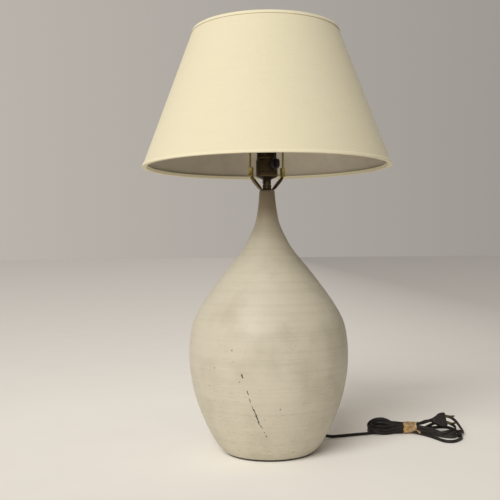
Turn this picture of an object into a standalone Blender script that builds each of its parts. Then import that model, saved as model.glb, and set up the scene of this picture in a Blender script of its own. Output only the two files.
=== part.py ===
"""Mid-century studio pottery table lamp with an empire shade.

A thrown, bottle-shaped stoneware body stands on a felt pad. A threaded pipe runs up
through it and carries the harp saddle and a turn-knob socket with its bulb. The harp
holds the shade, and the mains cord leaves the foot at the back and ends in a tied hank.
Every size below is in millimetres and is scaled to metres where a mesh is made.
"""

import math

import bmesh
import bpy
from mathutils import Matrix, Vector

MM = 0.001
GAP = 0.3            # clearance between touching pieces
EPS = 1e-7           # metres, for merging coincident vertices

# ---- driving dimensions ----
FELT_R, FELT_T = 71.5, 3.0
FOOT_Z = FELT_T + GAP
RECESS_FOOT_R, RECESS_TOP_R = 63.0, 76.0
FLOOR_UNDER, FLOOR_TOP = 34.0, 42.0
WALL = 6.5
NECK_TOP = 427.5
NECK_BORE = 6.2
BODY_PROFILE = [     # (height, radius) of the thrown body, foot to neck top
    (FOOT_Z, 75.0), (10, 81.0), (20, 88.6), (50, 104.5), (90, 119.5), (130, 127.9),
    (160, 129.7), (190, 127.9), (217, 121.3), (250, 102.7), (293, 71.1), (329.4, 42.0),
    (352.5, 29.0), (374.7, 19.6), (403.5, 14.5), (NECK_TOP, 12.3),
]

PIPE_R, PIPE_BORE = 4.85, 3.3
PIPE_BOTTOM, PIPE_TOP = 26.5, 443.0
PIPE_HOLE = PIPE_R + GAP

HARP_TURN = math.radians(20)          # the harp's plane, turned about +Z from the XZ plane
KNOB_AZIMUTH = math.radians(-52)      # the switch points to the front and a little right
KNOB_Z = 469.5

SADDLE_Z = NECK_TOP + GAP             # underside of the saddle strip
SADDLE_T, SADDLE_W = 1.5, 10.0
EAR_REACH, EAR_T, EAR_W = 26.1, 1.2, 4.0
SLEEVE_REACH, SLEEVE_Z, SLEEVE_H = 27.9, 450.2, 14.4
LEG_REACH, WIRE_R = 28.8, 1.6
HARP_TOP = 672.0                      # centre of the wire where the legs meet
HARP_ROUTE = [(LEG_REACH, 452.0), (LEG_REACH, 470.0), (LEG_REACH, 487.0), (31.0, 500.0),
              (38.5, 515.0), (48.5, 537.0), (56.0, 568.0), (57.0, 605.0), (48.0, 640.0),
              (30.0, 663.0), (14.0, 671.0), (0.0, HARP_TOP)]
STUD_FLANGE_Z = HARP_TOP + 3.0

CAP_HUB_Z, CAP_TOP = 436.9, 454.0
SHELL_TOP, SHELL_STEP = 508.0, 476.5
SOCKET_R, SHELL_UPPER_R, SHEET = 17.7, 16.2, 0.8

SHADE_BOTTOM_Z, SHADE_TOP_Z = 464.5, 688.0
SHADE_BOTTOM_R, SHADE_TOP_R = 204.3, 120.6
TRIM_H, TRIM_T, CLOTH_T, LINER_T, RING_WIRE = 5.0, 0.7, 0.7, 0.8, 1.5

CORD_W = 5.4                          # width of the flat two-core cord
CORD_AZIMUTH = math.radians(40)
CORD_EXIT_Z = 11.0
SPOTFACE_REACH, RELIEF_TIP = 81.0, 98.0
LEAD_ROUTE = [(100.0, 76.0, 5.6), (111.0, 79.5, 3.2), (124.0, 83.5, 2.8), (138.0, 88.5, 2.8),
              (152.0, 93.5, 2.8), (164.0, 97.5, 2.8), (172.5, 100.5, 3.2)]
HANK_STATIONS = [    # (x, y middle, half width, top at the near edge, top at the far edge)
    (174.5, 108.0, 6.0, 12.0, 14.0), (178.0, 110.0, 12.0, 18.0, 19.0), (187.0, 113.0, 18.0, 21.0, 22.5),
    (202.0, 115.0, 20.5, 22.5, 25.0), (219.0, 115.0, 16.5, 22.0, 24.5), (231.0, 113.0, 10.0, 20.0, 22.0),
    (237.5, 112.0, 7.0, 19.0, 20.0), (263.5, 108.5, 7.0, 19.0, 20.0), (271.0, 103.0, 17.0, 13.0, 17.0),
    (281.0, 92.0, 34.0, 9.0, 16.0), (296.0, 84.0, 46.0, 7.0, 16.0), (312.0, 84.0, 44.0, 7.0, 16.0),
    (328.0, 88.5, 36.0, 7.0, 14.0), (338.0, 92.0, 24.0, 7.0, 11.0), (346.0, 93.0, 9.0, 6.0, 8.0),
]
HANK_BOTTOM = 1.6
TIE_X0, TIE_X1, TIE_WALL = 238.5, 262.5, 1.1
PLUG_CENTRE, PLUG_TILT, PLUG_YAW = (300.0, 95.0, 26.8), math.radians(58), math.radians(8)


def hex_colour(code):
    """Linear RGBA from an sRGB hex code."""
    def linear(value):
        return value / 12.92 if value <= 0.04045 else ((value + 0.055) / 1.055) ** 2.4
    return tuple(linear(int(code[i:i + 2], 16) / 255) for i in (0, 2, 4)) + (1.0,)


FINISHES = {         # name: (sRGB colour, roughness, metallic)
    "matte_glaze": ("d6ccb2", 0.62, 0.0),
    "black_felt": ("2a2622", 0.95, 0.0),
    "zinc_steel": ("a9a8a2", 0.35, 1.0),
    "brass": ("a98e4c", 0.32, 1.0),
    "aged_bronze": ("3a2c1c", 0.42, 0.9),
    "cardboard": ("9a7d55", 0.9, 0.0),
    "black_phenolic": ("17151a", 0.3, 0.0),
    "nickel": ("c4c1ba", 0.28, 1.0),
    "clear_glass": ("e8ecec", 0.05, 0.0),
    "frosted_glass": ("f2efe6", 0.45, 0.0),
    "tungsten": ("6a6a68", 0.4, 1.0),
    "cream_linen": ("efe3c1", 0.85, 0.0),
    "white_styrene": ("efe9dc", 0.5, 0.0),
    "brown_vinyl": ("2e2620", 0.45, 0.0),
    "black_rubber": ("1c1a19", 0.7, 0.0),
    "gold_paper": ("a5814f", 0.6, 0.0),
}


def make_finish(name):
    colour, roughness, metallic = FINISHES[name]
    material = bpy.data.materials.new(name)
    material.use_nodes = True
    shader = material.node_tree.nodes["Principled BSDF"]
    shader.inputs["Base Color"].default_value = hex_colour(colour)
    shader.inputs["Roughness"].default_value = roughness
    shader.inputs["Metallic"].default_value = metallic
    return material


def clear_scene():
    for item in list(bpy.data.objects):
        bpy.data.objects.remove(item, do_unlink=True)


def add_object(name, data, finish=None, parent=None, matrix=None):
    """Link a new object; its finish is its own material."""
    item = bpy.data.objects.new(name, data)
    bpy.context.scene.collection.objects.link(item)
    if finish:
        material = make_finish(finish)
        material.name = name + "_" + finish
        data.materials.append(material)
    if matrix is not None:
        item.matrix_world = matrix
    if parent is not None:
        item.parent = parent
    return item


def close_mesh(bm, name, sharp=35):
    """Turn a finished bmesh into a mesh with outward faces and smooth round sides."""
    bmesh.ops.remove_doubles(bm, verts=bm.verts, dist=EPS)
    bmesh.ops.recalc_face_normals(bm, faces=bm.faces)
    mesh = bpy.data.meshes.new(name)
    bm.to_mesh(mesh)
    bm.free()
    mesh.shade_smooth()
    mesh.set_sharp_from_angle(angle=math.radians(sharp))
    return mesh


def turned_mesh(name, outline, steps=32):
    """Spin a closed outline of (radius, height) once round the Z axis."""
    bm = bmesh.new()
    verts = [bm.verts.new((radius * MM, 0, height * MM)) for radius, height in outline]
    edges = [bm.edges.new((verts[i - 1], verts[i])) for i in range(1, len(verts))]
    if outline[0][0] > 0 or outline[-1][0] > 0:
        edges.append(bm.edges.new((verts[-1], verts[0])))
    bmesh.ops.spin(bm, geom=verts + edges, cent=(0, 0, 0), axis=(0, 0, 1), dvec=(0, 0, 0),
                   angle=math.tau, steps=steps, use_merge=True)
    return close_mesh(bm, name)


def turned(name, outline, finish, steps=32, parent=None, matrix=None):
    return add_object(name, turned_mesh(name, outline, steps), finish, parent, matrix)


def ring_outline(inner, outer, low, high):
    return [(outer, high), (outer, low), (inner, low), (inner, high)]


def rod_outline(radius, low, high, edge=0.0):
    """A solid round bar, its two rims bevelled by edge."""
    if edge <= 0:
        return [(0, high), (radius, high), (radius, low), (0, low)]
    return [(0, high), (radius - edge, high), (radius, high - edge),
            (radius, low + edge), (radius - edge, low), (0, low)]


def smooth_points(route, spacing):
    """Points at an even spacing along a smooth curve through the route's points."""
    route = [Vector(point) for point in route]
    ends = [2 * route[0] - route[1]] + route + [2 * route[-1] - route[-2]]
    fine = []
    for a, b, c, d in zip(ends, ends[1:], ends[2:], ends[3:]):
        for step in range(24):
            t = step / 24
            fine.append(0.5 * (2 * b + (c - a) * t + (2 * a - 5 * b + 4 * c - d) * t ** 2
                               + (3 * b - a - 3 * c + d) * t ** 3))
    fine.append(route[-1])
    runs = [(q - p).length for p, q in zip(fine, fine[1:])]
    count = max(2, round(sum(runs) / spacing))
    wanted = [sum(runs) * i / count for i in range(count + 1)]
    points, travelled, i = [], 0.0, 0
    for distance in wanted:
        while i < len(runs) - 1 and travelled + runs[i] < distance:
            travelled += runs[i]
            i += 1
        share = min(1.0, (distance - travelled) / max(runs[i], 1e-9))
        points.append(fine[i].lerp(fine[i + 1], share))
    return points


def wire_curve(name, points, radius, resolution=2, cyclic=False):
    curve = bpy.data.curves.new(name, "CURVE")
    curve.dimensions = "3D"
    curve.bevel_depth = radius * MM
    curve.bevel_resolution = resolution
    curve.use_fill_caps = True
    spline = curve.splines.new("POLY")
    spline.points.add(len(points) - 1)
    for target, point in zip(spline.points, points):
        target.co = (*(Vector(point) * MM), 1.0)
    spline.use_cyclic_u = cyclic
    return curve


def wire_mesh(name, points, radius, resolution=2, cyclic=False):
    """The mesh of a bent wire, for pieces that are then welded or drilled."""
    guide = bpy.data.objects.new(name + "_guide", wire_curve(name, points, radius, resolution, cyclic))
    bpy.context.scene.collection.objects.link(guide)
    bpy.context.view_layer.update()
    mesh = bpy.data.meshes.new_from_object(guide.evaluated_get(bpy.context.evaluated_depsgraph_get()))
    bpy.data.objects.remove(guide, do_unlink=True)
    bm = bmesh.new()
    bm.from_mesh(mesh)
    return close_mesh(bm, name)


def combine(target, tool_name, mesh, operation, matrix=None):
    """Weld a mesh to a piece, or cut it away, with a hidden tool object."""
    tool = add_object(tool_name, mesh, matrix=matrix)
    tool.hide_render = True
    tool.display_type = "WIRE"
    modifier = target.modifiers.new(tool_name, "BOOLEAN")
    modifier.operation = operation
    modifier.solver = "EXACT"
    modifier.object = tool


def box_mesh(name, size, centre=(0, 0, 0)):
    bm = bmesh.new()
    bmesh.ops.create_cube(bm, size=1.0)
    bmesh.ops.scale(bm, vec=[side * MM for side in size], verts=bm.verts)
    bmesh.ops.translate(bm, vec=[value * MM for value in centre], verts=bm.verts)
    return close_mesh(bm, name)


def prism_mesh(name, outline, thickness):
    """Extrude an outline of (x, y) points from z = 0 up by thickness."""
    bm = bmesh.new()
    face = bm.faces.new([bm.verts.new((x * MM, y * MM, 0)) for x, y in outline])
    raised = bmesh.ops.extrude_face_region(bm, geom=[face])["geom"]
    bmesh.ops.translate(bm, vec=(0, 0, thickness * MM), verts=[v for v in raised if isinstance(v, bmesh.types.BMVert)])
    return close_mesh(bm, name)


def axis_matrix(azimuth, distance, height):
    """A frame whose Z points out level at an azimuth, its origin at that distance from the axis."""
    out = Vector((math.cos(azimuth), math.sin(azimuth), 0))
    matrix = out.to_track_quat("Z", "Y").to_matrix().to_4x4()
    matrix.translation = Vector((out.x * distance, out.y * distance, height)) * MM
    return matrix


def polar(azimuth, distance, height):
    return (math.cos(azimuth) * distance, math.sin(azimuth) * distance, height)


def body_radius(height):
    """Outer radius of the thrown body: a smooth curve through its profile."""
    route = smooth_points([(radius, 0, z) for z, radius in BODY_PROFILE], 3.0)
    for low, high in zip(route, route[1:]):
        if low.z <= height <= high.z:
            return low.x + (high.x - low.x) * (height - low.z) / (high.z - low.z)
    return BODY_PROFILE[-1][1]


def make_body():
    heights = [FOOT_Z, 9, 22, 42, 65, 90, 115, 140, 165, 190, 212, 232, 252, 274, 296, 316, 334, 350,
               366, 384, 405, NECK_TOP - 2]
    outer = [(body_radius(z), z) for z in reversed(heights)]
    rim = [(NECK_BORE, NECK_TOP), (12.3 - 1.6, NECK_TOP)]
    foot = [(RECESS_FOOT_R, FOOT_Z), (RECESS_TOP_R - 4, 18), (RECESS_TOP_R, 27), (RECESS_TOP_R - 5, FLOOR_UNDER),
            (PIPE_HOLE, FLOOR_UNDER), (PIPE_HOLE, FLOOR_TOP)]
    inside = [(body_radius(FLOOR_TOP) - WALL - 12, FLOOR_TOP), (body_radius(50) - WALL - 2, 50)]
    inside += [(body_radius(z) - WALL * 1.05, z) for z in (75, 115, 160, 200, 232, 268, 304, 328)]
    inside += [(body_radius(z) - WALL * 1.15, z) for z in (350,)]
    inside += [(max(NECK_BORE, body_radius(z) - WALL), z) for z in (374, 392)]
    body = turned("ceramic_body", rim + outer + foot + inside, "matte_glaze", steps=44)
    hole = turned_mesh("cord_hole", [(0, 100), (7.4, 100), (7.4, SPOTFACE_REACH), (4.9, SPOTFACE_REACH),
                                     (4.9, 58), (0, 58)], 24)
    combine(body, "cord_hole_cutter", hole, "DIFFERENCE", axis_matrix(CORD_AZIMUTH, 0, CORD_EXIT_Z))
    turned("felt_pad", rod_outline(FELT_R, 0, FELT_T, 0.5), "black_felt", steps=44)


def make_pipe():
    turned("lamp_pipe", ring_outline(PIPE_BORE, PIPE_R, PIPE_BOTTOM, PIPE_TOP), "zinc_steel", steps=20)
    washer_z = FLOOR_UNDER - GAP
    turned("bottom_washer", ring_outline(PIPE_HOLE, 15.0, washer_z - 1.6, washer_z), "zinc_steel", steps=24)
    nut_top, nut_height = washer_z - 1.6 - GAP, 3.6
    nut = prism_mesh("bottom_nut", [(8.1 * math.cos(a), 8.1 * math.sin(a))
                                    for a in (math.radians(60 * i + 30) for i in range(6))], nut_height)
    nut = add_object("bottom_nut", nut, "zinc_steel", matrix=Matrix.Translation((0, 0, (nut_top - nut_height) * MM)))
    combine(nut, "bottom_nut_bore", turned_mesh("bore", rod_outline(PIPE_HOLE, -5, 10), 20), "DIFFERENCE",
            Matrix.Translation((0, 0, (nut_top - nut_height) * MM)))
    turned("saddle_locknut", [(6.6, 436.5), (7.15, 436.0), (7.15, 430.2), (6.6, 429.7), (PIPE_HOLE, 429.7),
                              (PIPE_HOLE, 436.5)], "aged_bronze", steps=24)


def make_saddle():
    """A bent strip under the locknut, with an upright ear in each sleeve."""
    turn = Matrix.Rotation(HARP_TURN, 4, "Z")
    low, high = SADDLE_Z, SADDLE_Z + SADDLE_T
    right = [(9.5, low), (11.0, low + 0.3), (27.3, 446.6), (27.5, 449.4), (EAR_REACH + EAR_T / 2, 449.8),
             (EAR_REACH + EAR_T / 2, 463.0), (EAR_REACH - EAR_T / 2, 463.0), (EAR_REACH - EAR_T / 2, 449.2),
             (24.0, 447.8), (11.0, 432.0), (9.6, high), (9.0, high)]
    outline = right + [(-x, z) for x, z in reversed(right)]
    strip = prism_mesh("harp_saddle", outline, SADDLE_W)
    stand = turn @ Matrix.Rotation(math.pi / 2, 4, "X") @ Matrix.Translation((0, 0, -SADDLE_W / 2 * MM))
    saddle = add_object("harp_saddle", strip, "aged_bronze", matrix=stand)
    seat = turned_mesh("saddle_seat", rod_outline(8.6, low, high + 0.05), 28)
    combine(saddle, "saddle_seat", seat, "UNION")
    combine(saddle, "saddle_bore", turned_mesh("saddle_bore", rod_outline(PIPE_HOLE, 420, 436), 20), "DIFFERENCE")
    for side in (-1, 1):
        for edge in (-1, 1):
            centre = (side * EAR_REACH, edge * (EAR_W / 2 + 3), 457.0)
            combine(saddle, f"ear_trim_{side}_{edge}", box_mesh("ear_trim", (4, 6, 15), centre), "DIFFERENCE", turn)


def make_sleeves():
    for name, side in (("sleeve_left", -1), ("sleeve_right", 1)):
        azimuth = HARP_TURN + (math.pi if side < 0 else 0)
        place = Matrix.Translation(Vector(polar(azimuth, SLEEVE_REACH, SLEEVE_Z)) * MM)
        outline = [(3.9, SLEEVE_H), (4.35, SLEEVE_H - 0.5), (4.35, 0.5), (3.9, 0), (3.6, 0), (3.6, SLEEVE_H)]
        turned(name, outline, "brass", steps=20, matrix=place)


def make_harp():
    turn = Matrix.Rotation(HARP_TURN, 4, "Z")
    half = [(x, 0, z) for x, z in HARP_ROUTE]
    route = half + [(-x, 0, z) for x, _, z in reversed(half[:-1])]
    harp = add_object("harp_wire", wire_mesh("harp_wire", smooth_points(route, 11.0), WIRE_R, 2), "brass", matrix=turn)
    plate = turned_mesh("harp_eye", rod_outline(6.0, HARP_TOP - 1.9, HARP_TOP + 2.2), 24)
    combine(harp, "harp_eye_plate", plate, "UNION")
    bore = turned_mesh("harp_eye_bore", rod_outline(1.8, HARP_TOP - 9, HARP_TOP + 9), 16)
    combine(harp, "harp_eye_bore", bore, "DIFFERENCE")
    low = HARP_TOP - 1.9 - GAP
    turned("harp_stud", [(0, 689), (2.6, 689), (3.1, 688.5), (3.1, STUD_FLANGE_Z + 1.6), (5.2, STUD_FLANGE_Z + 1.6),
                         (5.2, STUD_FLANGE_Z - 0.3), (1.5, STUD_FLANGE_Z - 0.3), (1.5, low), (3.0, low),
                         (2.4, low - 1.4), (0, low - 1.6)], "brass", steps=20)


def shade_radius(height):
    share = (height - SHADE_BOTTOM_Z) / (SHADE_TOP_Z - SHADE_BOTTOM_Z)
    return SHADE_BOTTOM_R + (SHADE_TOP_R - SHADE_BOTTOM_R) * share


def cone_wall(depth, thickness, low, high):
    """Outline of a conical wall whose outer face lies depth inside the shade's outline."""
    return [(shade_radius(high) - depth, high), (shade_radius(low) - depth, low),
            (shade_radius(low) - depth - thickness, low), (shade_radius(high) - depth - thickness, high)]


def trim_outline(edge_z, upward):
    """A tape folded over the rim. At the bottom it has an inner wall; at the top the spider's arms need the room."""
    direction = 1 if upward else -1
    tip, end = edge_z + direction * TRIM_H, edge_z + direction * TRIM_T
    reach = TRIM_T + GAP + CLOTH_T + GAP + LINER_T + GAP + 2 * RING_WIRE + GAP
    inner_wall = [(shade_radius(tip) - reach - TRIM_T, tip), (shade_radius(tip) - reach, tip)] if upward else []
    return [(shade_radius(tip), tip), (shade_radius(edge_z), edge_z),
            (shade_radius(edge_z) - reach - TRIM_T, edge_z), *inner_wall,
            (shade_radius(end) - reach - (0 if upward else TRIM_T), end),
            (shade_radius(end) - TRIM_T, end), (shade_radius(tip) - TRIM_T, tip)]


def make_shade():
    steps = 48
    cloth_depth = TRIM_T + GAP
    liner_depth = cloth_depth + CLOTH_T + GAP
    ring_depth = liner_depth + LINER_T + GAP + RING_WIRE
    inset = TRIM_T + GAP
    low, high = SHADE_BOTTOM_Z + inset, SHADE_TOP_Z - inset
    turned("shade_fabric", cone_wall(cloth_depth, CLOTH_T, low, high), "cream_linen", steps)
    turned("shade_liner", cone_wall(liner_depth, LINER_T, low, high), "white_styrene", steps)
    turned("shade_bottom_trim", trim_outline(SHADE_BOTTOM_Z, True), "cream_linen", steps)
    turned("shade_top_trim", trim_outline(SHADE_TOP_Z, False), "cream_linen", steps)

    def rim_ring(height):
        radius = shade_radius(height) - ring_depth
        return [polar(math.tau * i / steps, radius, height) for i in range(steps)]
    bottom_z = low + RING_WIRE + 0.2
    bottom = wire_mesh("shade_bottom_ring", rim_ring(bottom_z), RING_WIRE, 1, cyclic=True)
    add_object("shade_bottom_ring", bottom, "zinc_steel")

    top_z = high - RING_WIRE - 0.2
    hub_low = STUD_FLANGE_Z + 1.6 + GAP
    spider = add_object("shade_spider", wire_mesh("shade_spider", rim_ring(top_z), RING_WIRE, 1, cyclic=True), "brass")
    combine(spider, "spider_hub", turned_mesh("spider_hub", ring_outline(3.5, 12.5, hub_low, hub_low + 1.8), 24), "UNION")
    for i in range(3):
        azimuth = math.radians(120 * i + 50)
        ring_r = shade_radius(top_z) - ring_depth
        route = [polar(azimuth, 9.5, hub_low + 2.0), polar(azimuth, 22, hub_low + 2.2),
                 polar(azimuth, 70, hub_low + 5.0), polar(azimuth, ring_r, top_z)]
        combine(spider, f"spider_arm_{i}", wire_mesh("spider_arm", smooth_points(route, 18), 1.6, 1), "UNION")


def make_finial():
    low = STUD_FLANGE_Z + 1.6 + GAP + 1.8 + GAP
    turned("finial_collar", [(5.4, low + 5.0), (5.4, low + 3.6), (7.0, low + 2.4), (7.0, low), (3.5, low), (3.5, low + 5.0)],
           "brass", steps=24)
    base = low + 5.0 + GAP
    ball_r, ball_z = 6.6, base + 14.0
    arc = [(ball_r * math.cos(a), ball_z + ball_r * math.sin(a)) for a in (math.radians(t) for t in range(70, -61, -26))]
    neck = [(3.6, base + 6.0), (3.9, base + 3.5), (6.0, base + 2.0), (6.0, base), (3.5, base), (3.5, base + 5.2), (0, base + 5.2)]
    turned("finial_knob", [(0, ball_z + ball_r)] + arc + neck, "brass", steps=24)


def make_socket():
    turned("socket_cap", [(SOCKET_R, CAP_TOP), (SOCKET_R, 451.2), (16.6, 449.4), (7.6, 445.2), (6.7, 444.0),
                          (6.7, CAP_HUB_Z), (PIPE_HOLE, CAP_HUB_Z), (PIPE_HOLE, 445.0), (6.6, 446.0),
                          (15.9, 450.4), (SOCKET_R - SHEET, 451.8), (SOCKET_R - SHEET, CAP_TOP)],
           "aged_bronze", steps=28)
    cap = bpy.data.objects["socket_cap"]
    screw_azimuth = math.radians(200)
    combine(cap, "set_screw_hole", turned_mesh("set_screw_hole", rod_outline(1.7, 4, 9), 12), "DIFFERENCE",
            axis_matrix(screw_azimuth, 0, 440.5))
    turned("cap_set_screw", rod_outline(1.4, 5.25, 8.0, 0.3), "zinc_steel", 12, matrix=axis_matrix(screw_azimuth, 0, 440.5))

    low = CAP_TOP + GAP
    shell = turned("socket_shell", [
        (SHELL_UPPER_R - SHEET, SHELL_TOP), (SHELL_UPPER_R, SHELL_TOP), (SHELL_UPPER_R, 481.2),
        (SHELL_UPPER_R + 0.5, 480.6), (SHELL_UPPER_R + 0.5, 479.2), (SHELL_UPPER_R, 478.6),
        (SOCKET_R - 0.5, SHELL_STEP), (SOCKET_R, 475.2), (SOCKET_R, low),
        (SOCKET_R - SHEET, low), (SOCKET_R - SHEET, 475.0), (SHELL_UPPER_R - SHEET, 477.8)], "aged_bronze", steps=28)
    slot = turned_mesh("shaft_slot", rod_outline(2.6, 12.0, 22), 16)
    combine(shell, "shell_slot", slot, "DIFFERENCE", axis_matrix(KNOB_AZIMUTH, 0, KNOB_Z))
    sleeve = turned("socket_insulator", ring_outline(14.2, 15.0, 455.5, 506.5), "cardboard", steps=32)
    combine(sleeve, "insulator_slot", turned_mesh("shaft_slot", rod_outline(2.6, 12.0, 22), 16), "DIFFERENCE",
            axis_matrix(KNOB_AZIMUTH, 0, KNOB_Z))

    block = turned("socket_block", [(0, 478.0), (11.0, 478.0), (11.4, 477.6), (11.4, 457.0), (10.4, 456.0), (0, 456.0)],
                   "black_phenolic", steps=28)
    combine(block, "block_bore", turned_mesh("block_bore", rod_outline(1.9, 7.5, 14), 16), "DIFFERENCE",
            axis_matrix(KNOB_AZIMUTH, 0, KNOB_Z))
    turned("screw_shell", [(13.9, 503), (13.9, 478.3 + GAP), (7.0, 478.3 + GAP), (7.0, 479.2), (13.4, 479.2), (13.4, 503)],
           "brass", steps=32)
    turned("centre_contact", rod_outline(5.0, 478.3, 479.9, 0.3), "brass", 16)
    for name, finish, turn in (("terminal_screw_brass", "brass", math.pi / 2), ("terminal_screw_silver", "nickel", -math.pi / 2)):
        turned(name, rod_outline(2.6, 11.7, 13.8, 0.4), finish, 16, matrix=axis_matrix(KNOB_AZIMUTH + turn, 0, 462.0))


def make_switch():
    """The shaft and the knob turn together about one level axis."""
    axis = bpy.data.objects.new("knob_axis", None)
    bpy.context.scene.collection.objects.link(axis)
    axis.matrix_world = axis_matrix(KNOB_AZIMUTH, 0, KNOB_Z)
    turned("switch_shaft", rod_outline(1.6, 8.0, 27.0), "brass", 16, parent=axis)
    knob = turned("switch_knob", [(0, 25.0), (4.6, 25.0), (7.8, 24.2), (9.0, 22.9), (9.0, 21.2), (8.0, 20.4), (0, 20.4)],
                  "black_phenolic", 32, parent=axis)
    grip = box_mesh("knob_grip", (4.2, 15.0, 8.6), (0, 0, 27.5))
    matrix = axis_matrix(KNOB_AZIMUTH, 0, KNOB_Z)
    combine(knob, "knob_grip", grip, "UNION", matrix)
    combine(knob, "knob_bore", turned_mesh("knob_bore", rod_outline(1.9, 15, 27.4), 16), "DIFFERENCE", matrix)


def make_bulb():
    turned("bulb_contact", [(0, 482.2), (4.6, 482.2), (4.6, 481.4), (3.2, 480.5), (0, 480.2)], "nickel", 20)
    turned("bulb_insulator", [(0, 485.6), (9.0, 485.6), (8.8, 485.0), (5.6, 482.5), (0, 482.5)], "black_phenolic", 24)
    turned("bulb_cap", [(12.9, 505.4), (12.9, 489.0), (9.4, 485.9), (0, 485.9), (0, 486.4), (9.2, 486.4), (12.4, 489.3),
                        (12.4, 505.4)], "nickel", 32)
    envelope = [(0, 592), (12, 590), (22, 582.4), (28.6, 570), (30, 560), (28.0, 546.5), (20.6, 526), (14.4, 507.6),
                (12.1, 506), (12.1, 489.6)]
    inner = [(11.3, 489.6), (11.3, 506.6), (13.6, 508.2), (19.8, 526.4), (27.2, 546.8), (29.2, 560), (27.9, 569.6),
             (21.5, 581.7), (11.7, 589.2), (0, 591.2)]
    turned("bulb_glass", envelope + inner, "frosted_glass", 24)
    turned("bulb_stem", [(0, 526), (2.2, 526), (3.0, 524), (3.0, 505), (4.6, 497), (9.8, 490.4), (10.9, 489.8), (10.9, 489.2),
                         (0, 489.2)], "clear_glass", 20)
    filament = [(-1.6, 0, 526.4), (-6.0, 0, 535), (-10.5, 0, 545), (-12.5, 0, 552), (-7.5, 3.0, 553.5), (0, 4.2, 554),
                (7.5, 3.0, 553.5), (12.5, 0, 552), (10.5, 0, 545), (6.0, 0, 535), (1.6, 0, 526.4)]
    add_object("bulb_filament", wire_curve("bulb_filament", smooth_points(filament, 3.2), 0.4, 1), "tungsten")


def make_relief():
    place = axis_matrix(CORD_AZIMUTH, 0, CORD_EXIT_Z)
    face = SPOTFACE_REACH + GAP
    turned("cord_relief", [(3.1, RELIEF_TIP), (4.0, RELIEF_TIP), (5.6, face + 2.6), (7.0, face + 2.2), (7.0, face),
                           (4.6, face), (4.6, 73.0), (3.1, 73.0)], "black_rubber", 20, matrix=place)


def make_inner_cord():
    """From the relief's mouth, under the floor and up the pipe to the socket."""
    def along(distance, height):
        return polar(CORD_AZIMUTH, distance, height)
    bend, bend_low = 17.0, 9.0
    arc = [along(bend * (1 - math.sin(a)), bend_low + bend * (1 - math.cos(a))) for a in
           (math.radians(15 * i) for i in range(7))]
    route = [along(RELIEF_TIP - 0.4, CORD_EXIT_Z), along(84, CORD_EXIT_Z), along(70, CORD_EXIT_Z - 0.1), along(54, 10.2),
             along(38, 9.4), along(26, 9.05)] + arc
    route += [(0, 0, z) for z in (36, 60, 120, 180, 240, 300, 360, 410, 438)] + [(0, 0, 452.5)]
    add_object("cord_inner", wire_curve("cord_inner", smooth_points(route, 9.5), 2.65, 2), "brown_vinyl")


def make_lead():
    start = polar(CORD_AZIMUTH, RELIEF_TIP + GAP, CORD_EXIT_Z)
    first = polar(CORD_AZIMUTH, RELIEF_TIP + 10, CORD_EXIT_Z - 1.4)
    points = smooth_points([start, first] + LEAD_ROUTE, CORD_W * 2)
    add_object("cord_lead", wire_curve("cord_lead", points, CORD_W / 2 + 0.02, 2), "brown_vinyl")


def hank_ring(station, inset=0.0):
    """The hank's section at one station: flat underneath, rounded edges, a sloping top."""
    x, middle, half, near, far = station
    corner = min(4.0, half * 0.6)
    low = HANK_BOTTOM
    return [Vector((x, middle - half, low + 2)), Vector((x, middle - half + 2, low)), Vector((x, middle + half - 2, low)),
            Vector((x, middle + half, low + 2)), Vector((x, middle + half, far - corner * 0.7)),
            Vector((x, middle + half - corner, far)), Vector((x, middle - half + corner, near)),
            Vector((x, middle - half, near - corner * 0.7))]


def loft_mesh(name, rings):
    bm = bmesh.new()
    rows = [[bm.verts.new(point * MM) for point in ring] for ring in rings]
    for row, following in zip(rows, rows[1:]):
        for i in range(len(row)):
            j = (i + 1) % len(row)
            bm.faces.new((row[i], row[j], following[j], following[i]))
    bm.faces.new(rows[0])
    bm.faces.new(rows[-1])
    bmesh.ops.triangulate(bm, faces=bm.faces)
    return close_mesh(bm, name)


def make_hank():
    add_object("cord_hank", loft_mesh("cord_hank", [hank_ring(station) for station in HANK_STATIONS]), "brown_vinyl")
    tie_rings = []
    for x in (TIE_X0, TIE_X1):
        share = (x - 237.5) / 26.0
        middle = 112.0 - 3.5 * share
        half = 7.0 + GAP
        tie_rings.append((x, middle, half))
    outer, inner = [], []
    for x, middle, half in tie_rings:
        for rings, grow in ((outer, TIE_WALL), (inner, 0.0)):
            wide, low, high = half + grow, HANK_BOTTOM - GAP - grow, 20.0 + GAP + grow
            chamfer, foot = 3.0 + grow * 0.4, 1.9 + grow * 0.4
            rings.append([Vector((x, middle - wide, low + foot)), Vector((x, middle - wide + foot, low)),
                          Vector((x, middle + wide - foot, low)), Vector((x, middle + wide, low + foot)),
                          Vector((x, middle + wide, high - chamfer)), Vector((x, middle + wide - chamfer, high)),
                          Vector((x, middle - wide + chamfer, high)), Vector((x, middle - wide, high - chamfer))])
    bm = bmesh.new()
    rows = [[bm.verts.new(point * MM) for point in ring] for ring in (outer[0], outer[1], inner[1], inner[0])]
    for row, following in zip(rows, rows[1:] + rows[:1]):
        for i in range(8):
            j = (i + 1) % 8
            bm.faces.new((row[i], row[j], following[j], following[i]))
    bmesh.ops.triangulate(bm, faces=bm.faces)
    add_object("hank_tie", close_mesh(bm, "hank_tie"), "gold_paper")


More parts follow.
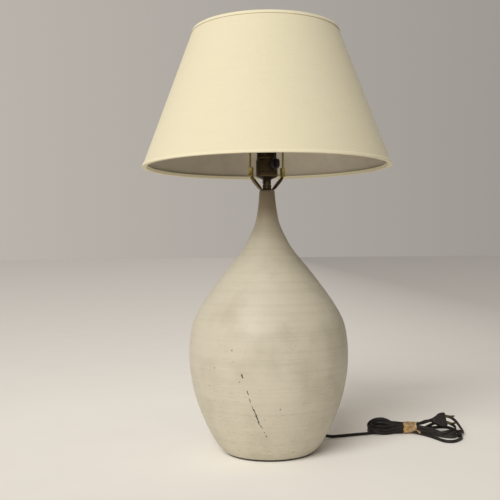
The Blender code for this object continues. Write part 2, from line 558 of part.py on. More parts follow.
def make_plug():
    """A flat two-blade plug lying against the hank, its blades to the right."""
    place = (Matrix.Translation(Vector(PLUG_CENTRE) * MM) @ Matrix.Rotation(PLUG_YAW, 4, "Z")
             @ Matrix.Rotation(PLUG_TILT, 4, "X"))
    outline = [(-14, -4.2), (-6, -8.0), (1, -12.2), (9, -13.0), (11, -11.5), (11, 11.5), (9, 13.0), (1, 12.2), (-6, 8.0), (-14, 4.2)]
    thick = 9.0
    shell = prism_mesh("plug_body", outline, thick)
    body = add_object("plug_body", shell, "brown_vinyl", matrix=place @ Matrix.Translation((0, 0, -thick / 2 * MM)))
    bevel = body.modifiers.new("edges", "BEVEL")
    bevel.width = 1.4 * MM
    bevel.segments = 2
    bevel.limit_method = "ANGLE"
    for name, side in (("plug_blade_1", -1), ("plug_blade_2", 1)):
        blade = box_mesh(name, (17.0, 1.5, 6.3), (11 + GAP + 8.5, side * 6.35, 0))
        add_object(name, blade, "brass", matrix=place)
    rear, behind = [place @ Vector((x * MM, 0, 0)) / MM for x in (-14.0 - 2 * GAP, -21.0)]
    tail = [Vector((266.0, 107.5, 22.9)), Vector((272.0, 101.5, 24.6)), behind, rear]
    add_object("cord_tail", wire_curve("cord_tail", smooth_points(tail, 3.5), CORD_W / 2, 2), "brown_vinyl")


def main():
    clear_scene()
    make_body()
    make_pipe()
    make_saddle()
    make_sleeves()
    make_harp()
    make_shade()
    make_finial()
    make_socket()
    make_switch()
    make_bulb()
    make_relief()
    make_inner_cord()
    make_lead()
    make_hank()
    make_plug()


main()
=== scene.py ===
"""Studio pottery table lamp: the visible pieces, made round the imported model.

Sizes are written in millimetres and scaled to metres by MM where a mesh is made.
"""

import math

import bpy
import numpy as np
from bpy.props import FloatProperty, FloatVectorProperty, PointerProperty
from mathutils import Matrix, Vector


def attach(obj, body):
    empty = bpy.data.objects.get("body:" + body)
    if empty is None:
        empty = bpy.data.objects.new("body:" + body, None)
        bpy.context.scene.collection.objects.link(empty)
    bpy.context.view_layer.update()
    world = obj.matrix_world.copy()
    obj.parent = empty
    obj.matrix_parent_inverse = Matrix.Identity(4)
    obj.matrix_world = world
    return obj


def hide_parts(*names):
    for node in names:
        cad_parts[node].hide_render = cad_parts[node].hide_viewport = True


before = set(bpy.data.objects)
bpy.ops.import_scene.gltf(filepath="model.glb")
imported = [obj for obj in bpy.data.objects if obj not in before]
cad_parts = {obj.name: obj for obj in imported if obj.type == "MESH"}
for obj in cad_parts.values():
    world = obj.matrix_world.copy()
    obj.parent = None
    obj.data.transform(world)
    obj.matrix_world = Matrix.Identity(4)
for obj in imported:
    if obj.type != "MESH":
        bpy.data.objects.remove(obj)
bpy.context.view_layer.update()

bl_info = {
    "name": "Studio pottery table lamp",
    "version": (1, 0, 0),
    "blender": (4, 5, 0),
    "location": "View3D > Sidebar > Pottery lamp",
    "description": "Makes a thrown stoneware lamp with its shade, harp, socket and tied cord",
    "category": "Add Mesh",
}

MM = 0.001

# ---- sizes shared by several pieces, in millimetres ----
HARP_TURN = math.radians(20)
KNOB_AZIMUTH, KNOB_Z = math.radians(-52), 469.5
SET_SCREW_AZIMUTH, SET_SCREW_Z = math.radians(200), 440.5
SHAFT_OPENING = [(0, 12), (2.6, 12), (2.6, 22), (0, 22)]     # (radius, distance out) of the hole for the knob's shaft
CORD_AZIMUTH, CORD_EXIT_Z = math.radians(40), 11.0
SHADE_BOTTOM_Z, SHADE_TOP_Z, SHADE_BOTTOM_R, SHADE_TOP_R = 464.5, 688.0, 204.3, 120.6
SHADE_STEPS = 192              # faces round the shade's cloth, liner, tapes and rings
RING_DEPTH, RING_WIRE = 4.6, 1.5       # how far a rim ring's wire lies inside the shade's outline, and its radius
BODY_PROFILE = [               # (radius, height) of the thrown body, foot to neck top
    (75.0, 3.3), (81.0, 10), (88.6, 20), (104.5, 50), (119.5, 90), (127.9, 130), (129.7, 160), (127.9, 190),
    (121.3, 217), (102.7, 250), (71.1, 293), (42.0, 329.4), (29.0, 352.5), (19.6, 374.7), (14.5, 403.5),
    (12.3, 427.5),
]
PLUG_PLACE = (Matrix.Translation(Vector((300.0, 95.0, 26.8)) * MM)
              @ Matrix.Rotation(math.radians(8), 4, "Z") @ Matrix.Rotation(math.radians(58), 4, "X"))


def linear(code):
    """Linear RGB from an sRGB hex code."""
    values = [int(code[i:i + 2], 16) / 255 for i in (0, 2, 4)]
    return tuple(v / 12.92 if v <= 0.04045 else ((v + 0.055) / 1.055) ** 2.4 for v in values)


# ---------------------------------------------------------------- settings

class LampSizes(bpy.types.PropertyGroup):
    """Sizes a maker would change."""
    ring_depth: FloatProperty(name="Throwing ring depth", description="Depth of the rings left by the fingers",
                              default=0.00004, min=0, max=0.001, unit="LENGTH")
    wobble: FloatProperty(name="Clay wobble", description="How far the wall strays from a true turned form",
                          default=0.0006, min=0, max=0.003, unit="LENGTH")
    thread_spacing: FloatProperty(name="Thread spacing", description="Distance between the shade cloth's threads",
                                  default=0.0009, min=0.0002, max=0.005, unit="LENGTH")
    cord_width: FloatProperty(name="Cord width", description="Width of the flat two-core cord",
                              default=0.0054, min=0.003, max=0.01, unit="LENGTH")
    crumple: FloatProperty(name="Paper crumple", description="Depth of the creases in the paper tie",
                           default=0.0016, min=0, max=0.004, unit="LENGTH")


class LampColours(bpy.types.PropertyGroup):
    """Colours a maker would change."""
    glaze: FloatVectorProperty(name="Glaze", description="Main colour of the matte glaze", subtype="COLOR",
                               default=linear("c3bca9"), min=0, max=1)
    cloth: FloatVectorProperty(name="Shade cloth", description="Colour of the shade's cloth", subtype="COLOR",
                               default=linear("ddd5b8"), min=0, max=1)
    cord: FloatVectorProperty(name="Cord", description="Colour of the vinyl cord", subtype="COLOR",
                              default=linear("201a17"), min=0, max=1)
    paper: FloatVectorProperty(name="Paper tie", description="Colour of the paper tie", subtype="COLOR",
                               default=linear("a0845c"), min=0, max=1)
    floor_near: FloatVectorProperty(name="Floor near", description="Colour of the floor under the lamp",
                                    subtype="COLOR", default=linear("f8f5ef"), min=0, max=1)
    floor_far: FloatVectorProperty(name="Floor far", description="Colour of the floor far away", subtype="COLOR",
                                   default=linear("c5c1be"), min=0, max=1)
    air: FloatVectorProperty(name="Surroundings", description="Colour of the light all round, on the left",
                             subtype="COLOR", default=linear("bab4ac"), min=0, max=1)
    air_right: FloatVectorProperty(name="Surroundings on the right", description="The same, on the right",
                                   subtype="COLOR", default=linear("9c9792"), min=0, max=1)
    air_side: FloatVectorProperty(name="Surroundings far right", description="The unlit side of the room",
                                  subtype="COLOR", default=linear("78736d"), min=0, max=1)


# ---------------------------------------------------------------- modelling

def deselect_all():
    if bpy.context.mode != "OBJECT":
        bpy.ops.object.mode_set(mode="OBJECT")
    bpy.ops.object.select_all(action="DESELECT")


def select_only(piece):
    deselect_all()
    piece.select_set(True)
    bpy.context.view_layer.objects.active = piece


def context_piece(name):
    """Name the piece that was just added."""
    piece = bpy.context.object
    piece.name = piece.data.name = name
    return piece


def extrude_outline(name, points):
    """A plane merged to one vertex, then extruded from point to point; it ends in edit mode."""
    points = [Vector(point) * MM for point in points]
    deselect_all()
    bpy.ops.mesh.primitive_plane_add(size=0.01, location=(0, 0, 0))
    piece = context_piece(name)
    bpy.ops.object.mode_set(mode="EDIT")
    bpy.ops.mesh.select_all(action="SELECT")
    bpy.ops.mesh.merge(type="CENTER")
    bpy.ops.transform.translate(value=points[0])
    for start, end in zip(points, points[1:]):
        bpy.ops.mesh.extrude_region_move(TRANSFORM_OT_translate={"value": end - start})
    bpy.ops.mesh.select_all(action="SELECT")
    return piece


def tidy_mesh():
    """Merge doubles and turn the faces outwards, in edit mode, then leave it."""
    bpy.ops.mesh.select_all(action="SELECT")
    bpy.ops.mesh.remove_doubles(threshold=1e-6)
    bpy.ops.mesh.normals_make_consistent(inside=False)
    bpy.ops.object.mode_set(mode="OBJECT")


def lathe(name, outline, steps=48, matrix=None):
    """Spin an outline of (radius, height) once round the Z axis. Off the axis, it is closed to a ring."""
    if outline[0][0] > 0 or outline[-1][0] > 0:
        outline = list(outline) + [outline[0]]
    piece = extrude_outline(name, [(radius, 0, height) for radius, height in outline])
    bpy.ops.mesh.spin(steps=steps, angle=math.tau, center=(0, 0, 0), axis=(0, 0, 1))
    tidy_mesh()
    return placed(piece, matrix)


def prism(name, outline, depth, matrix=None):
    """Fill an outline of (x, z) and extrude it along Y, centred on the XZ plane."""
    closed = [*outline, outline[0]]
    piece = extrude_outline(name, [(x, -depth / 2, z) for x, z in closed])
    bpy.ops.mesh.remove_doubles(threshold=1e-6)
    bpy.ops.mesh.edge_face_add()
    bpy.ops.mesh.extrude_region_move(TRANSFORM_OT_translate={"value": (0, depth * MM, 0)})
    tidy_mesh()
    return placed(piece, matrix)


def bent_wire(name, points, radius, closed=False, sides=3, matrix=None):
    """A round wire bent along points, made as a bevelled curve and turned into a mesh."""
    deselect_all()
    bpy.ops.curve.primitive_nurbs_path_add()
    wire = context_piece(name)
    wire.matrix_world = Matrix.Identity(4)
    wire.data.splines.clear()
    spline = wire.data.splines.new("POLY")
    spline.points.add(len(points) - 1)
    for target, point in zip(spline.points, points):
        target.co = (*(Vector(point) * MM), 1.0)
    spline.use_cyclic_u = closed
    wire.data.bevel_depth, wire.data.bevel_resolution, wire.data.use_fill_caps = radius * MM, sides, True
    bpy.ops.object.convert(target="MESH")
    piece = bpy.context.object
    bpy.ops.object.mode_set(mode="EDIT")
    tidy_mesh()
    return placed(piece, matrix)


def placed(piece, matrix=None):
    """Put the place in the mesh, so the object sits at the origin, unturned and unscaled."""
    if matrix is not None:
        piece.matrix_world = matrix
    select_only(piece)
    bpy.ops.object.transform_apply(location=True, rotation=True, scale=True)
    return piece


def modify(piece, kind, **settings):
    """Add a modifier and apply it."""
    select_only(piece)
    modifier = piece.modifiers.new(kind.title(), kind)
    for name, value in settings.items():
        setattr(modifier, name, value)
    bpy.ops.object.modifier_apply(modifier=modifier.name)
    return piece


def soften(piece, width, segments=2, angle=35):
    """Round the hard edges of a piece; width is in millimetres."""
    return modify(piece, "BEVEL", width=width * MM, segments=segments, limit_method="ANGLE",
                  angle_limit=math.radians(angle), harden_normals=False)


def weld(piece, tool, operation="UNION"):
    """Join a tool piece to a piece, or cut it away, and remove the tool."""
    modify(piece, "BOOLEAN", operation=operation, solver="EXACT", object=tool)
    bpy.data.objects.remove(tool, do_unlink=True)
    return piece


def finished(piece, body, material, nodes=(), angle=35):
    """Smooth a piece, give it its material and body, and hide the imported nodes it stands for."""
    select_only(piece)
    bpy.ops.object.shade_smooth_by_angle(angle=math.radians(angle))
    piece.data.materials.clear()
    piece.data.materials.append(material)
    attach(piece, body)
    if nodes:
        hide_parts(*nodes)
    return piece


def smooth_line(route, spacing, steps=24):
    """Evenly spaced points along a smooth curve through a route's points."""
    route = [np.array(point, float) for point in route]
    ends = [2 * route[0] - route[1], *route, 2 * route[-1] - route[-2]]
    fine = []
    for a, b, c, d in zip(ends, ends[1:], ends[2:], ends[3:]):
        for t in np.arange(steps) / steps:
            fine.append(0.5 * (2 * b + (c - a) * t + (2 * a - 5 * b + 4 * c - d) * t ** 2
                               + (3 * b - a - 3 * c + d) * t ** 3))
    fine = np.array(fine + [route[-1]])
    travelled = np.r_[0, np.cumsum(np.linalg.norm(np.diff(fine, axis=0), axis=1))]
    wanted = np.linspace(0, travelled[-1], max(2, round(travelled[-1] / spacing)) + 1)
    return np.stack([np.interp(wanted, travelled, fine[:, i]) for i in range(fine.shape[1])], 1)


def polar(azimuth, reach, height):
    return (math.cos(azimuth) * reach, math.sin(azimuth) * reach, height)


def level_axis(azimuth, height):
    """A frame on the lamp's axis whose Z points out level at an azimuth."""
    out = Vector((math.cos(azimuth), math.sin(azimuth), 0))
    matrix = out.to_track_quat("Z", "Y").to_matrix().to_4x4()
    matrix.translation = Vector((0, 0, height)) * MM
    return matrix


# ---------------------------------------------------------------- materials

MIX_A, MIX_B, MIX_RESULT = 6, 7, 2       # a colour Mix node's sockets


def add_node(tree, kind, sockets=None, stops=None, **settings):
    """Add a node. sockets gives its inputs a value or a link; stops are a ramp's or a curve's points."""
    node = tree.nodes.new(kind)
    for name, value in settings.items():
        setattr(node, name, value)
    for name, value in (sockets or {}).items():
        if isinstance(value, bpy.types.NodeSocket):
            tree.links.new(value, node.inputs[name])
        else:
            node.inputs[name].default_value = value
    if stops and kind == "ShaderNodeValToRGB":
        ramp = node.color_ramp.elements
        while len(ramp) < len(stops):
            ramp.new(1.0)
        for element, (position, colour) in zip(ramp, stops):
            element.position, element.color = position, (*colour, 1.0)
    elif stops:
        points = node.mapping.curves[0].points
        while len(points) < len(stops):
            points.new(1.0, 0.0)
        for point, (position, value) in zip(points, stops):
            point.location, point.handle_type = (position, value), "VECTOR"
        node.mapping.update()
    return node


def start_material(name, sockets):
    """A new material, its tree and its shader, with constants set on the shader's own sockets."""
    material = bpy.data.materials.new(name)
    material.use_nodes = True
    tree = material.node_tree
    shader = tree.nodes["Principled BSDF"]
    for socket, value in sockets.items():
        shader.inputs[socket].default_value = value
    return material, tree, shader


# Plain finishes: two tones of one fine pattern, its size in millimetres, its stretch along x, y and z,
# the roughness of its low and high parts, its relief in millimetres, and the shader's constants.
PLAIN_FINISHES = {
    # pressed wool felt: soft black-brown fibre with no shine
    "pressed_wool_felt": ("1d1a17", "37312b", 1.6, (1, 1, 1), 0.95, 1.0, 0.25,
                          {"Sheen Weight": 0.4, "Sheen Roughness": 0.6}),
    # bright zinc plate on threaded steel: grey, with a cloudy dull bloom
    "zinc_plated_steel": ("8f8e89", "b9b8b2", 2.5, (1, 1, 1), 0.3, 0.5, 0.02, {"Metallic": 1.0}),
    # drawn brass wire, tarnished: olive yellow with browner patches drawn out along the wire
    "tarnished_brass": ("9a8a4c", "cfc080", 5.0, (2, 2, 0.35), 0.36, 0.58, 0.03, {"Metallic": 1.0}),
    # polished brass turning, less tarnished: the finial and the contacts
    "turned_brass": ("93793a", "c0a35c", 4.0, (0.6, 0.6, 4), 0.2, 0.38, 0.015, {"Metallic": 1.0}),
    # vulcanised fibre sleeve: tan board, matte
    "vulcanised_fibre": ("7d6344", "a5875d", 1.2, (1, 1, 0.3), 0.8, 0.95, 0.08, {}),
    # moulded phenolic: near black with a purple cast, its gloss dulled by age
    "moulded_phenolic": ("0f0b0d", "1c161a", 1.4, (1, 1, 1), 0.34, 0.5, 0.03, {"Specular IOR Level": 0.35}),
    # nickel plate: pale grey, bright
    "nickel_plate": ("a9a69e", "d3d0c8", 3.0, (1, 1, 2), 0.18, 0.36, 0.01, {"Metallic": 1.0}),
    # acid-etched glass: white, softly lit through
    "etched_bulb_glass": ("e9e6dd", "f7f5ee", 1.0, (1, 1, 1), 0.35, 0.5, 0.02,
                          {"Transmission Weight": 0.35, "IOR": 1.5}),
    # drawn clear glass: the stem inside the bulb
    "drawn_clear_glass": ("e4eaea", "f4f8f8", 4.0, (1, 1, 0.3), 0.03, 0.08, 0.0,
                          {"Transmission Weight": 0.9, "IOR": 1.5}),
    # drawn tungsten: dull dark grey
    "drawn_tungsten": ("4a4a49", "7b7a77", 1.0, (1, 1, 1), 0.35, 0.5, 0.0, {"Metallic": 1.0}),
    # calendered white styrene: smooth, faintly yellowed in clouds; its tones are darkened to paint the shade inside
    # the lampshade
    "calendered_styrene": ("b0a794", "bcb4a2", 40.0, (1, 1, 1), 0.42, 0.55, 0.05, {}),
    # moulded soft vinyl: dark brown, satin, scuffed a little lighter
    "moulded_vinyl": ("1a1512", "2b231f", 3.0, (1, 1, 1), 0.42, 0.6, 0.06, {"Specular IOR Level": 0.3}),
}


def plain_finish(name):
    """One of the plain finishes, made once."""
    if name in bpy.data.materials:
        return bpy.data.materials[name]
    low, high, size, stretch, smooth, rough, relief, sockets = PLAIN_FINISHES[name]
    material, tree, shader = start_material(name, sockets)
    place = add_node(tree, "ShaderNodeTexCoord").outputs["Object"]
    place = add_node(tree, "ShaderNodeMapping", {"Vector": place, "Scale": stretch}).outputs["Vector"]
    pattern = add_node(tree, "ShaderNodeTexNoise", {"Vector": place, "Scale": 1 / (size * MM), "Detail": 5.0,
                                                    "Roughness": 0.6}).outputs["Fac"]
    tone = add_node(tree, "ShaderNodeValToRGB", {"Fac": pattern}, stops=[(0.32, linear(low)), (0.68, linear(high))])
    tree.links.new(tone.outputs["Color"], shader.inputs["Base Color"])
    shine = add_node(tree, "ShaderNodeMapRange", {"Value": pattern, "From Min": 0.3, "From Max": 0.7,
                                                  "To Min": smooth, "To Max": rough})
    tree.links.new(shine.outputs["Result"], shader.inputs["Roughness"])
    if relief:
        bump = add_node(tree, "ShaderNodeBump", {"Height": pattern, "Strength": 0.6, "Distance": relief * MM})
        tree.links.new(bump.outputs["Normal"], shader.inputs["Normal"])
    return material


# The long firing crack, as (height, x): it runs down to the right across the front, in dashes.
CRACK_LINE = [(47.2, -4.4), (53.9, -7.6), (60.6, -10.4), (66.8, -14.4), (75.8, -17.7), (87.1, -21.2), (96.4, -26.1),
              (101.0, -27.4), (107.2, -29.3), (114.3, -30.8), (119.5, -32.7), (139.1, -39.0), (145.0, -40.6)]
# How far the crack is open, as (height, half width), all in millimetres
CRACK_WIDTH = [(45.5, 0.0), (47.5, 0.75), (49.5, 0.0), (52.0, 0.0), (54.0, 0.6), (56.0, 0.0), (59.5, 0.0),
               (60.5, 0.45), (66.0, 0.5), (72.0, 0.7), (78.0, 1.15), (84.0, 0.85), (92.0, 0.6), (97.0, 0.4),
               (98.5, 0.0), (100.5, 0.0), (101.5, 0.55), (106.5, 0.6), (108.0, 0.0), (113.0, 0.0), (114.5, 0.6),
               (119.0, 0.65), (120.5, 0.0), (138.0, 0.0), (139.5, 0.8), (144.0, 1.0), (146.0, 0.0)]
# Pits and chips in the front of the glaze: (x, y, height, radius)
PITS = [(-54.7, -116.3, 179.2, 1.5), (-52.6, -118.4, 162.4, 0.9), (-82.4, -99.4, 150.9, 1.2),
        (44.7, -120.9, 173.8, 0.9), (40.0, -121.7, 185.8, 0.8), (-90.9, -87.6, 122.2, 1.1), (-92.1, -68.7, 77.8, 1.0),
        (-76.2, -84.5, 74.8, 1.1), (16.7, -118.5, 90.9, 1.3), (36.2, -78.1, 16.7, 1.4), (-43.6, -120.4, 132.8, 1.1),
        (-7.0, -114.0, 75.6, 0.9)]


def matte_stoneware_glaze(colour):
    """Matte stoneware glaze, brushed on and fired: warm chalky beige with greyer clouds, fine level lines
    from throwing, iron specks, a long crack, pits, and hairline crazing towards the foot."""
    material, tree, shader = start_material("matte_stoneware_glaze", {"Roughness": 0.6, "IOR": 1.5})
    place = add_node(tree, "ShaderNodeTexCoord").outputs["Object"]
    axes = add_node(tree, "ShaderNodeSeparateXYZ", {"Vector": place})
    height = axes.outputs["Z"]
    # clouds of thicker and thinner glaze, about 70 mm across
    clouds = add_node(tree, "ShaderNodeTexNoise", {"Vector": place, "Scale": 14.0, "Detail": 4.0, "Roughness": 0.55})
    base = tuple(colour)
    tone = add_node(tree, "ShaderNodeValToRGB", {"Fac": clouds.outputs["Fac"]}, stops=[
        (0.30, tuple(c * f for c, f in zip(base, (0.86, 0.85, 0.82)))), (0.50, base),
        (0.72, tuple(min(1.0, c * 1.06) for c in base))]).outputs["Color"]
    # level lines 3 to 6 mm apart, where the glaze thins over each ring
    level = add_node(tree, "ShaderNodeMapping", {"Vector": place, "Scale": (2.2, 2.2, 210.0)}).outputs["Vector"]
    lines = add_node(tree, "ShaderNodeTexNoise", {"Vector": level, "Scale": 1.0, "Detail": 3.0, "Roughness": 0.6})
    lines = add_node(tree, "ShaderNodeValToRGB", {"Fac": lines.outputs["Fac"]}, stops=[
        (0.34, (0.95, 0.95, 0.945)), (0.52, (1.0, 1.0, 1.0)), (0.66, (1.015, 1.015, 1.01))]).outputs["Color"]
    tone = add_node(tree, "ShaderNodeMix", {0: 1.0, MIX_A: tone, MIX_B: lines}, data_type="RGBA",
                    blend_type="MULTIPLY").outputs[MIX_RESULT]
    # towards the lip of the neck: painted shadow of the lampshade darkens the neck, and the glaze there is also
    # thinner, with the brown clay showing
    up = add_node(tree, "ShaderNodeMapRange", {"Value": height, "From Min": 0.33, "From Max": 0.43}).outputs["Result"]
    thin = add_node(tree, "ShaderNodeValToRGB", {"Fac": up}, stops=[
        (0.12, (1.0, 1.0, 1.0)), (0.45, (0.86, 0.83, 0.78)), (0.58, (0.68, 0.63, 0.56)), (0.72, (0.54, 0.48, 0.41)),
        (0.97, (0.40, 0.34, 0.29))]).outputs["Color"]
    tone = add_node(tree, "ShaderNodeMix", {0: 1.0, MIX_A: tone, MIX_B: thin}, data_type="RGBA",
                    blend_type="MULTIPLY").outputs[MIX_RESULT]
    # iron specks: about 1.5 mm, drawn half as large again as the real ones so that they show
    specks = add_node(tree, "ShaderNodeTexNoise", {"Vector": place, "Scale": 520.0, "Detail": 2.0})
    specks = add_node(tree, "ShaderNodeValToRGB", {"Fac": specks.outputs["Fac"]}, stops=[
        (0.24, (0.74, 0.70, 0.62)), (0.33, (1.0, 1.0, 1.0))]).outputs["Color"]
    tone = add_node(tree, "ShaderNodeMix", {0: 1.0, MIX_A: tone, MIX_B: specks}, data_type="RGBA",
                    blend_type="MULTIPLY").outputs[MIX_RESULT]

    # wear grows from the middle down to the foot
    low = add_node(tree, "ShaderNodeMapRange", {"Value": height, "From Min": 0.125, "From Max": 0.015,
                                                "To Min": 0.0, "To Max": 1.0}).outputs["Result"]
    patches = add_node(tree, "ShaderNodeTexNoise", {"Vector": place, "Scale": 42.0, "Detail": 3.0}).outputs["Fac"]
    patches = add_node(tree, "ShaderNodeMapRange", {"Value": patches, "From Min": 0.42,
                                                    "From Max": 0.62}).outputs["Result"]
    worn = add_node(tree, "ShaderNodeMath", {0: low, 1: patches}, operation="MULTIPLY").outputs[0]
    # hairline crazing, cells about 9 mm, lines drawn 0.4 mm wide so that they show
    crazing = add_node(tree, "ShaderNodeTexVoronoi", {"Vector": place, "Scale": 110.0, "Randomness": 1.0},
                       feature="DISTANCE_TO_EDGE").outputs["Distance"]
    crazing = add_node(tree, "ShaderNodeMapRange", {"Value": crazing, "From Min": 0.055,
                                                    "From Max": 0.015}).outputs["Result"]
    crazing = add_node(tree, "ShaderNodeMath", {0: crazing, 1: worn}, operation="MULTIPLY").outputs[0]
    crazing = add_node(tree, "ShaderNodeMath", {0: crazing, 1: 0.45}, operation="MULTIPLY").outputs[0]
    # level scratches, 10 to 20 mm long
    drawn = add_node(tree, "ShaderNodeMapping", {"Vector": place, "Rotation": (0.0, 0.06, 0.0),
                                                 "Scale": (60.0, 60.0, 700.0)}).outputs["Vector"]
    scratches = add_node(tree, "ShaderNodeTexNoise", {"Vector": drawn, "Scale": 1.0, "Detail": 2.0}).outputs["Fac"]
    scratches = add_node(tree, "ShaderNodeMapRange", {"Value": scratches, "From Min": 0.64,
                                                      "From Max": 0.72}).outputs["Result"]
    reach = add_node(tree, "ShaderNodeMapRange", {"Value": height, "From Min": 0.19, "From Max": 0.05,
                                                  "To Min": 0.12, "To Max": 0.9}).outputs["Result"]
    scratches = add_node(tree, "ShaderNodeMath", {0: scratches, 1: reach}, operation="MULTIPLY").outputs[0]

    # the crack: distance from a line that is a function of the height, roughened by a fine noise
    span = 150.0
    height_share = add_node(tree, "ShaderNodeMath", {0: height, 1: 1 / (span * MM)}, operation="MULTIPLY").outputs[0]
    line = add_node(tree, "ShaderNodeFloatCurve", {"Value": height_share},
                    stops=[(z / span, (x + 50) / 100) for z, x in CRACK_LINE]).outputs[0]
    opening = add_node(tree, "ShaderNodeFloatCurve", {"Value": height_share},
                       stops=[(z / span, w * 0.62) for z, w in CRACK_WIDTH]).outputs[0]
    ragged = add_node(tree, "ShaderNodeTexNoise", {"Vector": place, "Scale": 330.0, "Detail": 3.0}).outputs["Fac"]
    ragged = add_node(tree, "ShaderNodeMapRange", {"Value": ragged, "From Min": 0.3, "From Max": 0.7,
                                                   "To Min": -0.9, "To Max": 0.9}).outputs["Result"]
    across = add_node(tree, "ShaderNodeMath", {0: axes.outputs["X"], 1: 1000.0, 2: ragged},
                      operation="MULTIPLY_ADD").outputs[0]
    centre = add_node(tree, "ShaderNodeMath", {0: line, 1: 100.0, 2: -50.0}, operation="MULTIPLY_ADD").outputs[0]
    apart = add_node(tree, "ShaderNodeMath", {0: across, 1: centre}, operation="SUBTRACT").outputs[0]
    apart = add_node(tree, "ShaderNodeMath", {0: apart}, operation="ABSOLUTE").outputs[0]
    half = add_node(tree, "ShaderNodeMath", {0: opening, 1: 2.0}, operation="MULTIPLY").outputs[0]
    crack = add_node(tree, "ShaderNodeMath", {0: half, 1: apart}, operation="SUBTRACT").outputs[0]
    crack = add_node(tree, "ShaderNodeMapRange", {"Value": crack, "From Min": -0.15,
                                                  "From Max": 0.25}).outputs["Result"]
    open_here = add_node(tree, "ShaderNodeMath", {0: opening, 1: 0.02}, operation="GREATER_THAN").outputs[0]
    front = add_node(tree, "ShaderNodeMath", {0: axes.outputs["Y"], 1: 0.0}, operation="LESS_THAN").outputs[0]
    crack = add_node(tree, "ShaderNodeMath", {0: crack, 1: open_here}, operation="MULTIPLY").outputs[0]
    crack = add_node(tree, "ShaderNodeMath", {0: crack, 1: front}, operation="MULTIPLY").outputs[0]
    # the pits: nearness to any of their centres, on wavering coordinates
    waver = add_node(tree, "ShaderNodeTexNoise", {"Vector": place, "Scale": 500.0}).outputs["Color"]
    waver = add_node(tree, "ShaderNodeVectorMath", {0: waver, 1: (0.5, 0.5, 0.5)}, operation="SUBTRACT").outputs[0]
    waver = add_node(tree, "ShaderNodeVectorMath", {0: waver, "Scale": 0.0022}, operation="SCALE").outputs[0]
    spot = add_node(tree, "ShaderNodeVectorMath", {0: place, 1: waver}, operation="ADD").outputs[0]
    damage = crack
    for x, y, z, radius in PITS:
        away = add_node(tree, "ShaderNodeVectorMath", {0: spot, 1: (x * MM, y * MM, z * MM)},
                        operation="DISTANCE").outputs["Value"]
        pit = add_node(tree, "ShaderNodeMapRange", {"Value": away, "From Min": radius * 1.25 * MM,
                                                    "From Max": radius * 0.4 * MM, "To Max": 0.85}).outputs["Result"]
        damage = add_node(tree, "ShaderNodeMath", {0: damage, 1: pit}, operation="MAXIMUM").outputs[0]

    marks = add_node(tree, "ShaderNodeMath", {0: crazing, 1: scratches}, operation="MAXIMUM").outputs[0]
    marks = add_node(tree, "ShaderNodeMath", {0: marks, 1: 0.42}, operation="MULTIPLY").outputs[0]
    tone = add_node(tree, "ShaderNodeMix", {0: marks, MIX_A: tone, MIX_B: (*linear("5f5540"), 1.0)},
                    data_type="RGBA").outputs[MIX_RESULT]
    dark = add_node(tree, "ShaderNodeMath", {0: damage, 1: 0.9}, operation="MULTIPLY").outputs[0]
    tone = add_node(tree, "ShaderNodeMix", {0: dark, MIX_A: tone, MIX_B: (*linear("1f1a13"), 1.0)},
                    data_type="RGBA").outputs[MIX_RESULT]
    tree.links.new(tone, shader.inputs["Base Color"])
    shine = add_node(tree, "ShaderNodeMapRange", {"Value": clouds.outputs["Fac"], "From Min": 0.3, "From Max": 0.7,
                                                  "To Min": 0.56, "To Max": 0.42}).outputs["Result"]
    tree.links.new(shine, shader.inputs["Roughness"])
    # relief: a fine eggshell grain of 2 mm, with the marks cut in
    grain = add_node(tree, "ShaderNodeTexNoise", {"Vector": place, "Scale": 420.0, "Detail": 4.0}).outputs["Fac"]
    cut = add_node(tree, "ShaderNodeMath", {0: damage, 1: -4.0, 2: grain}, operation="MULTIPLY_ADD").outputs[0]
    cut = add_node(tree, "ShaderNodeMath", {0: marks, 1: -1.0, 2: cut}, operation="MULTIPLY_ADD").outputs[0]
    bump = add_node(tree, "ShaderNodeBump", {"Height": cut, "Strength": 0.5, "Distance": 0.12 * MM})
    tree.links.new(bump.outputs["Normal"], shader.inputs["Normal"])
    return material


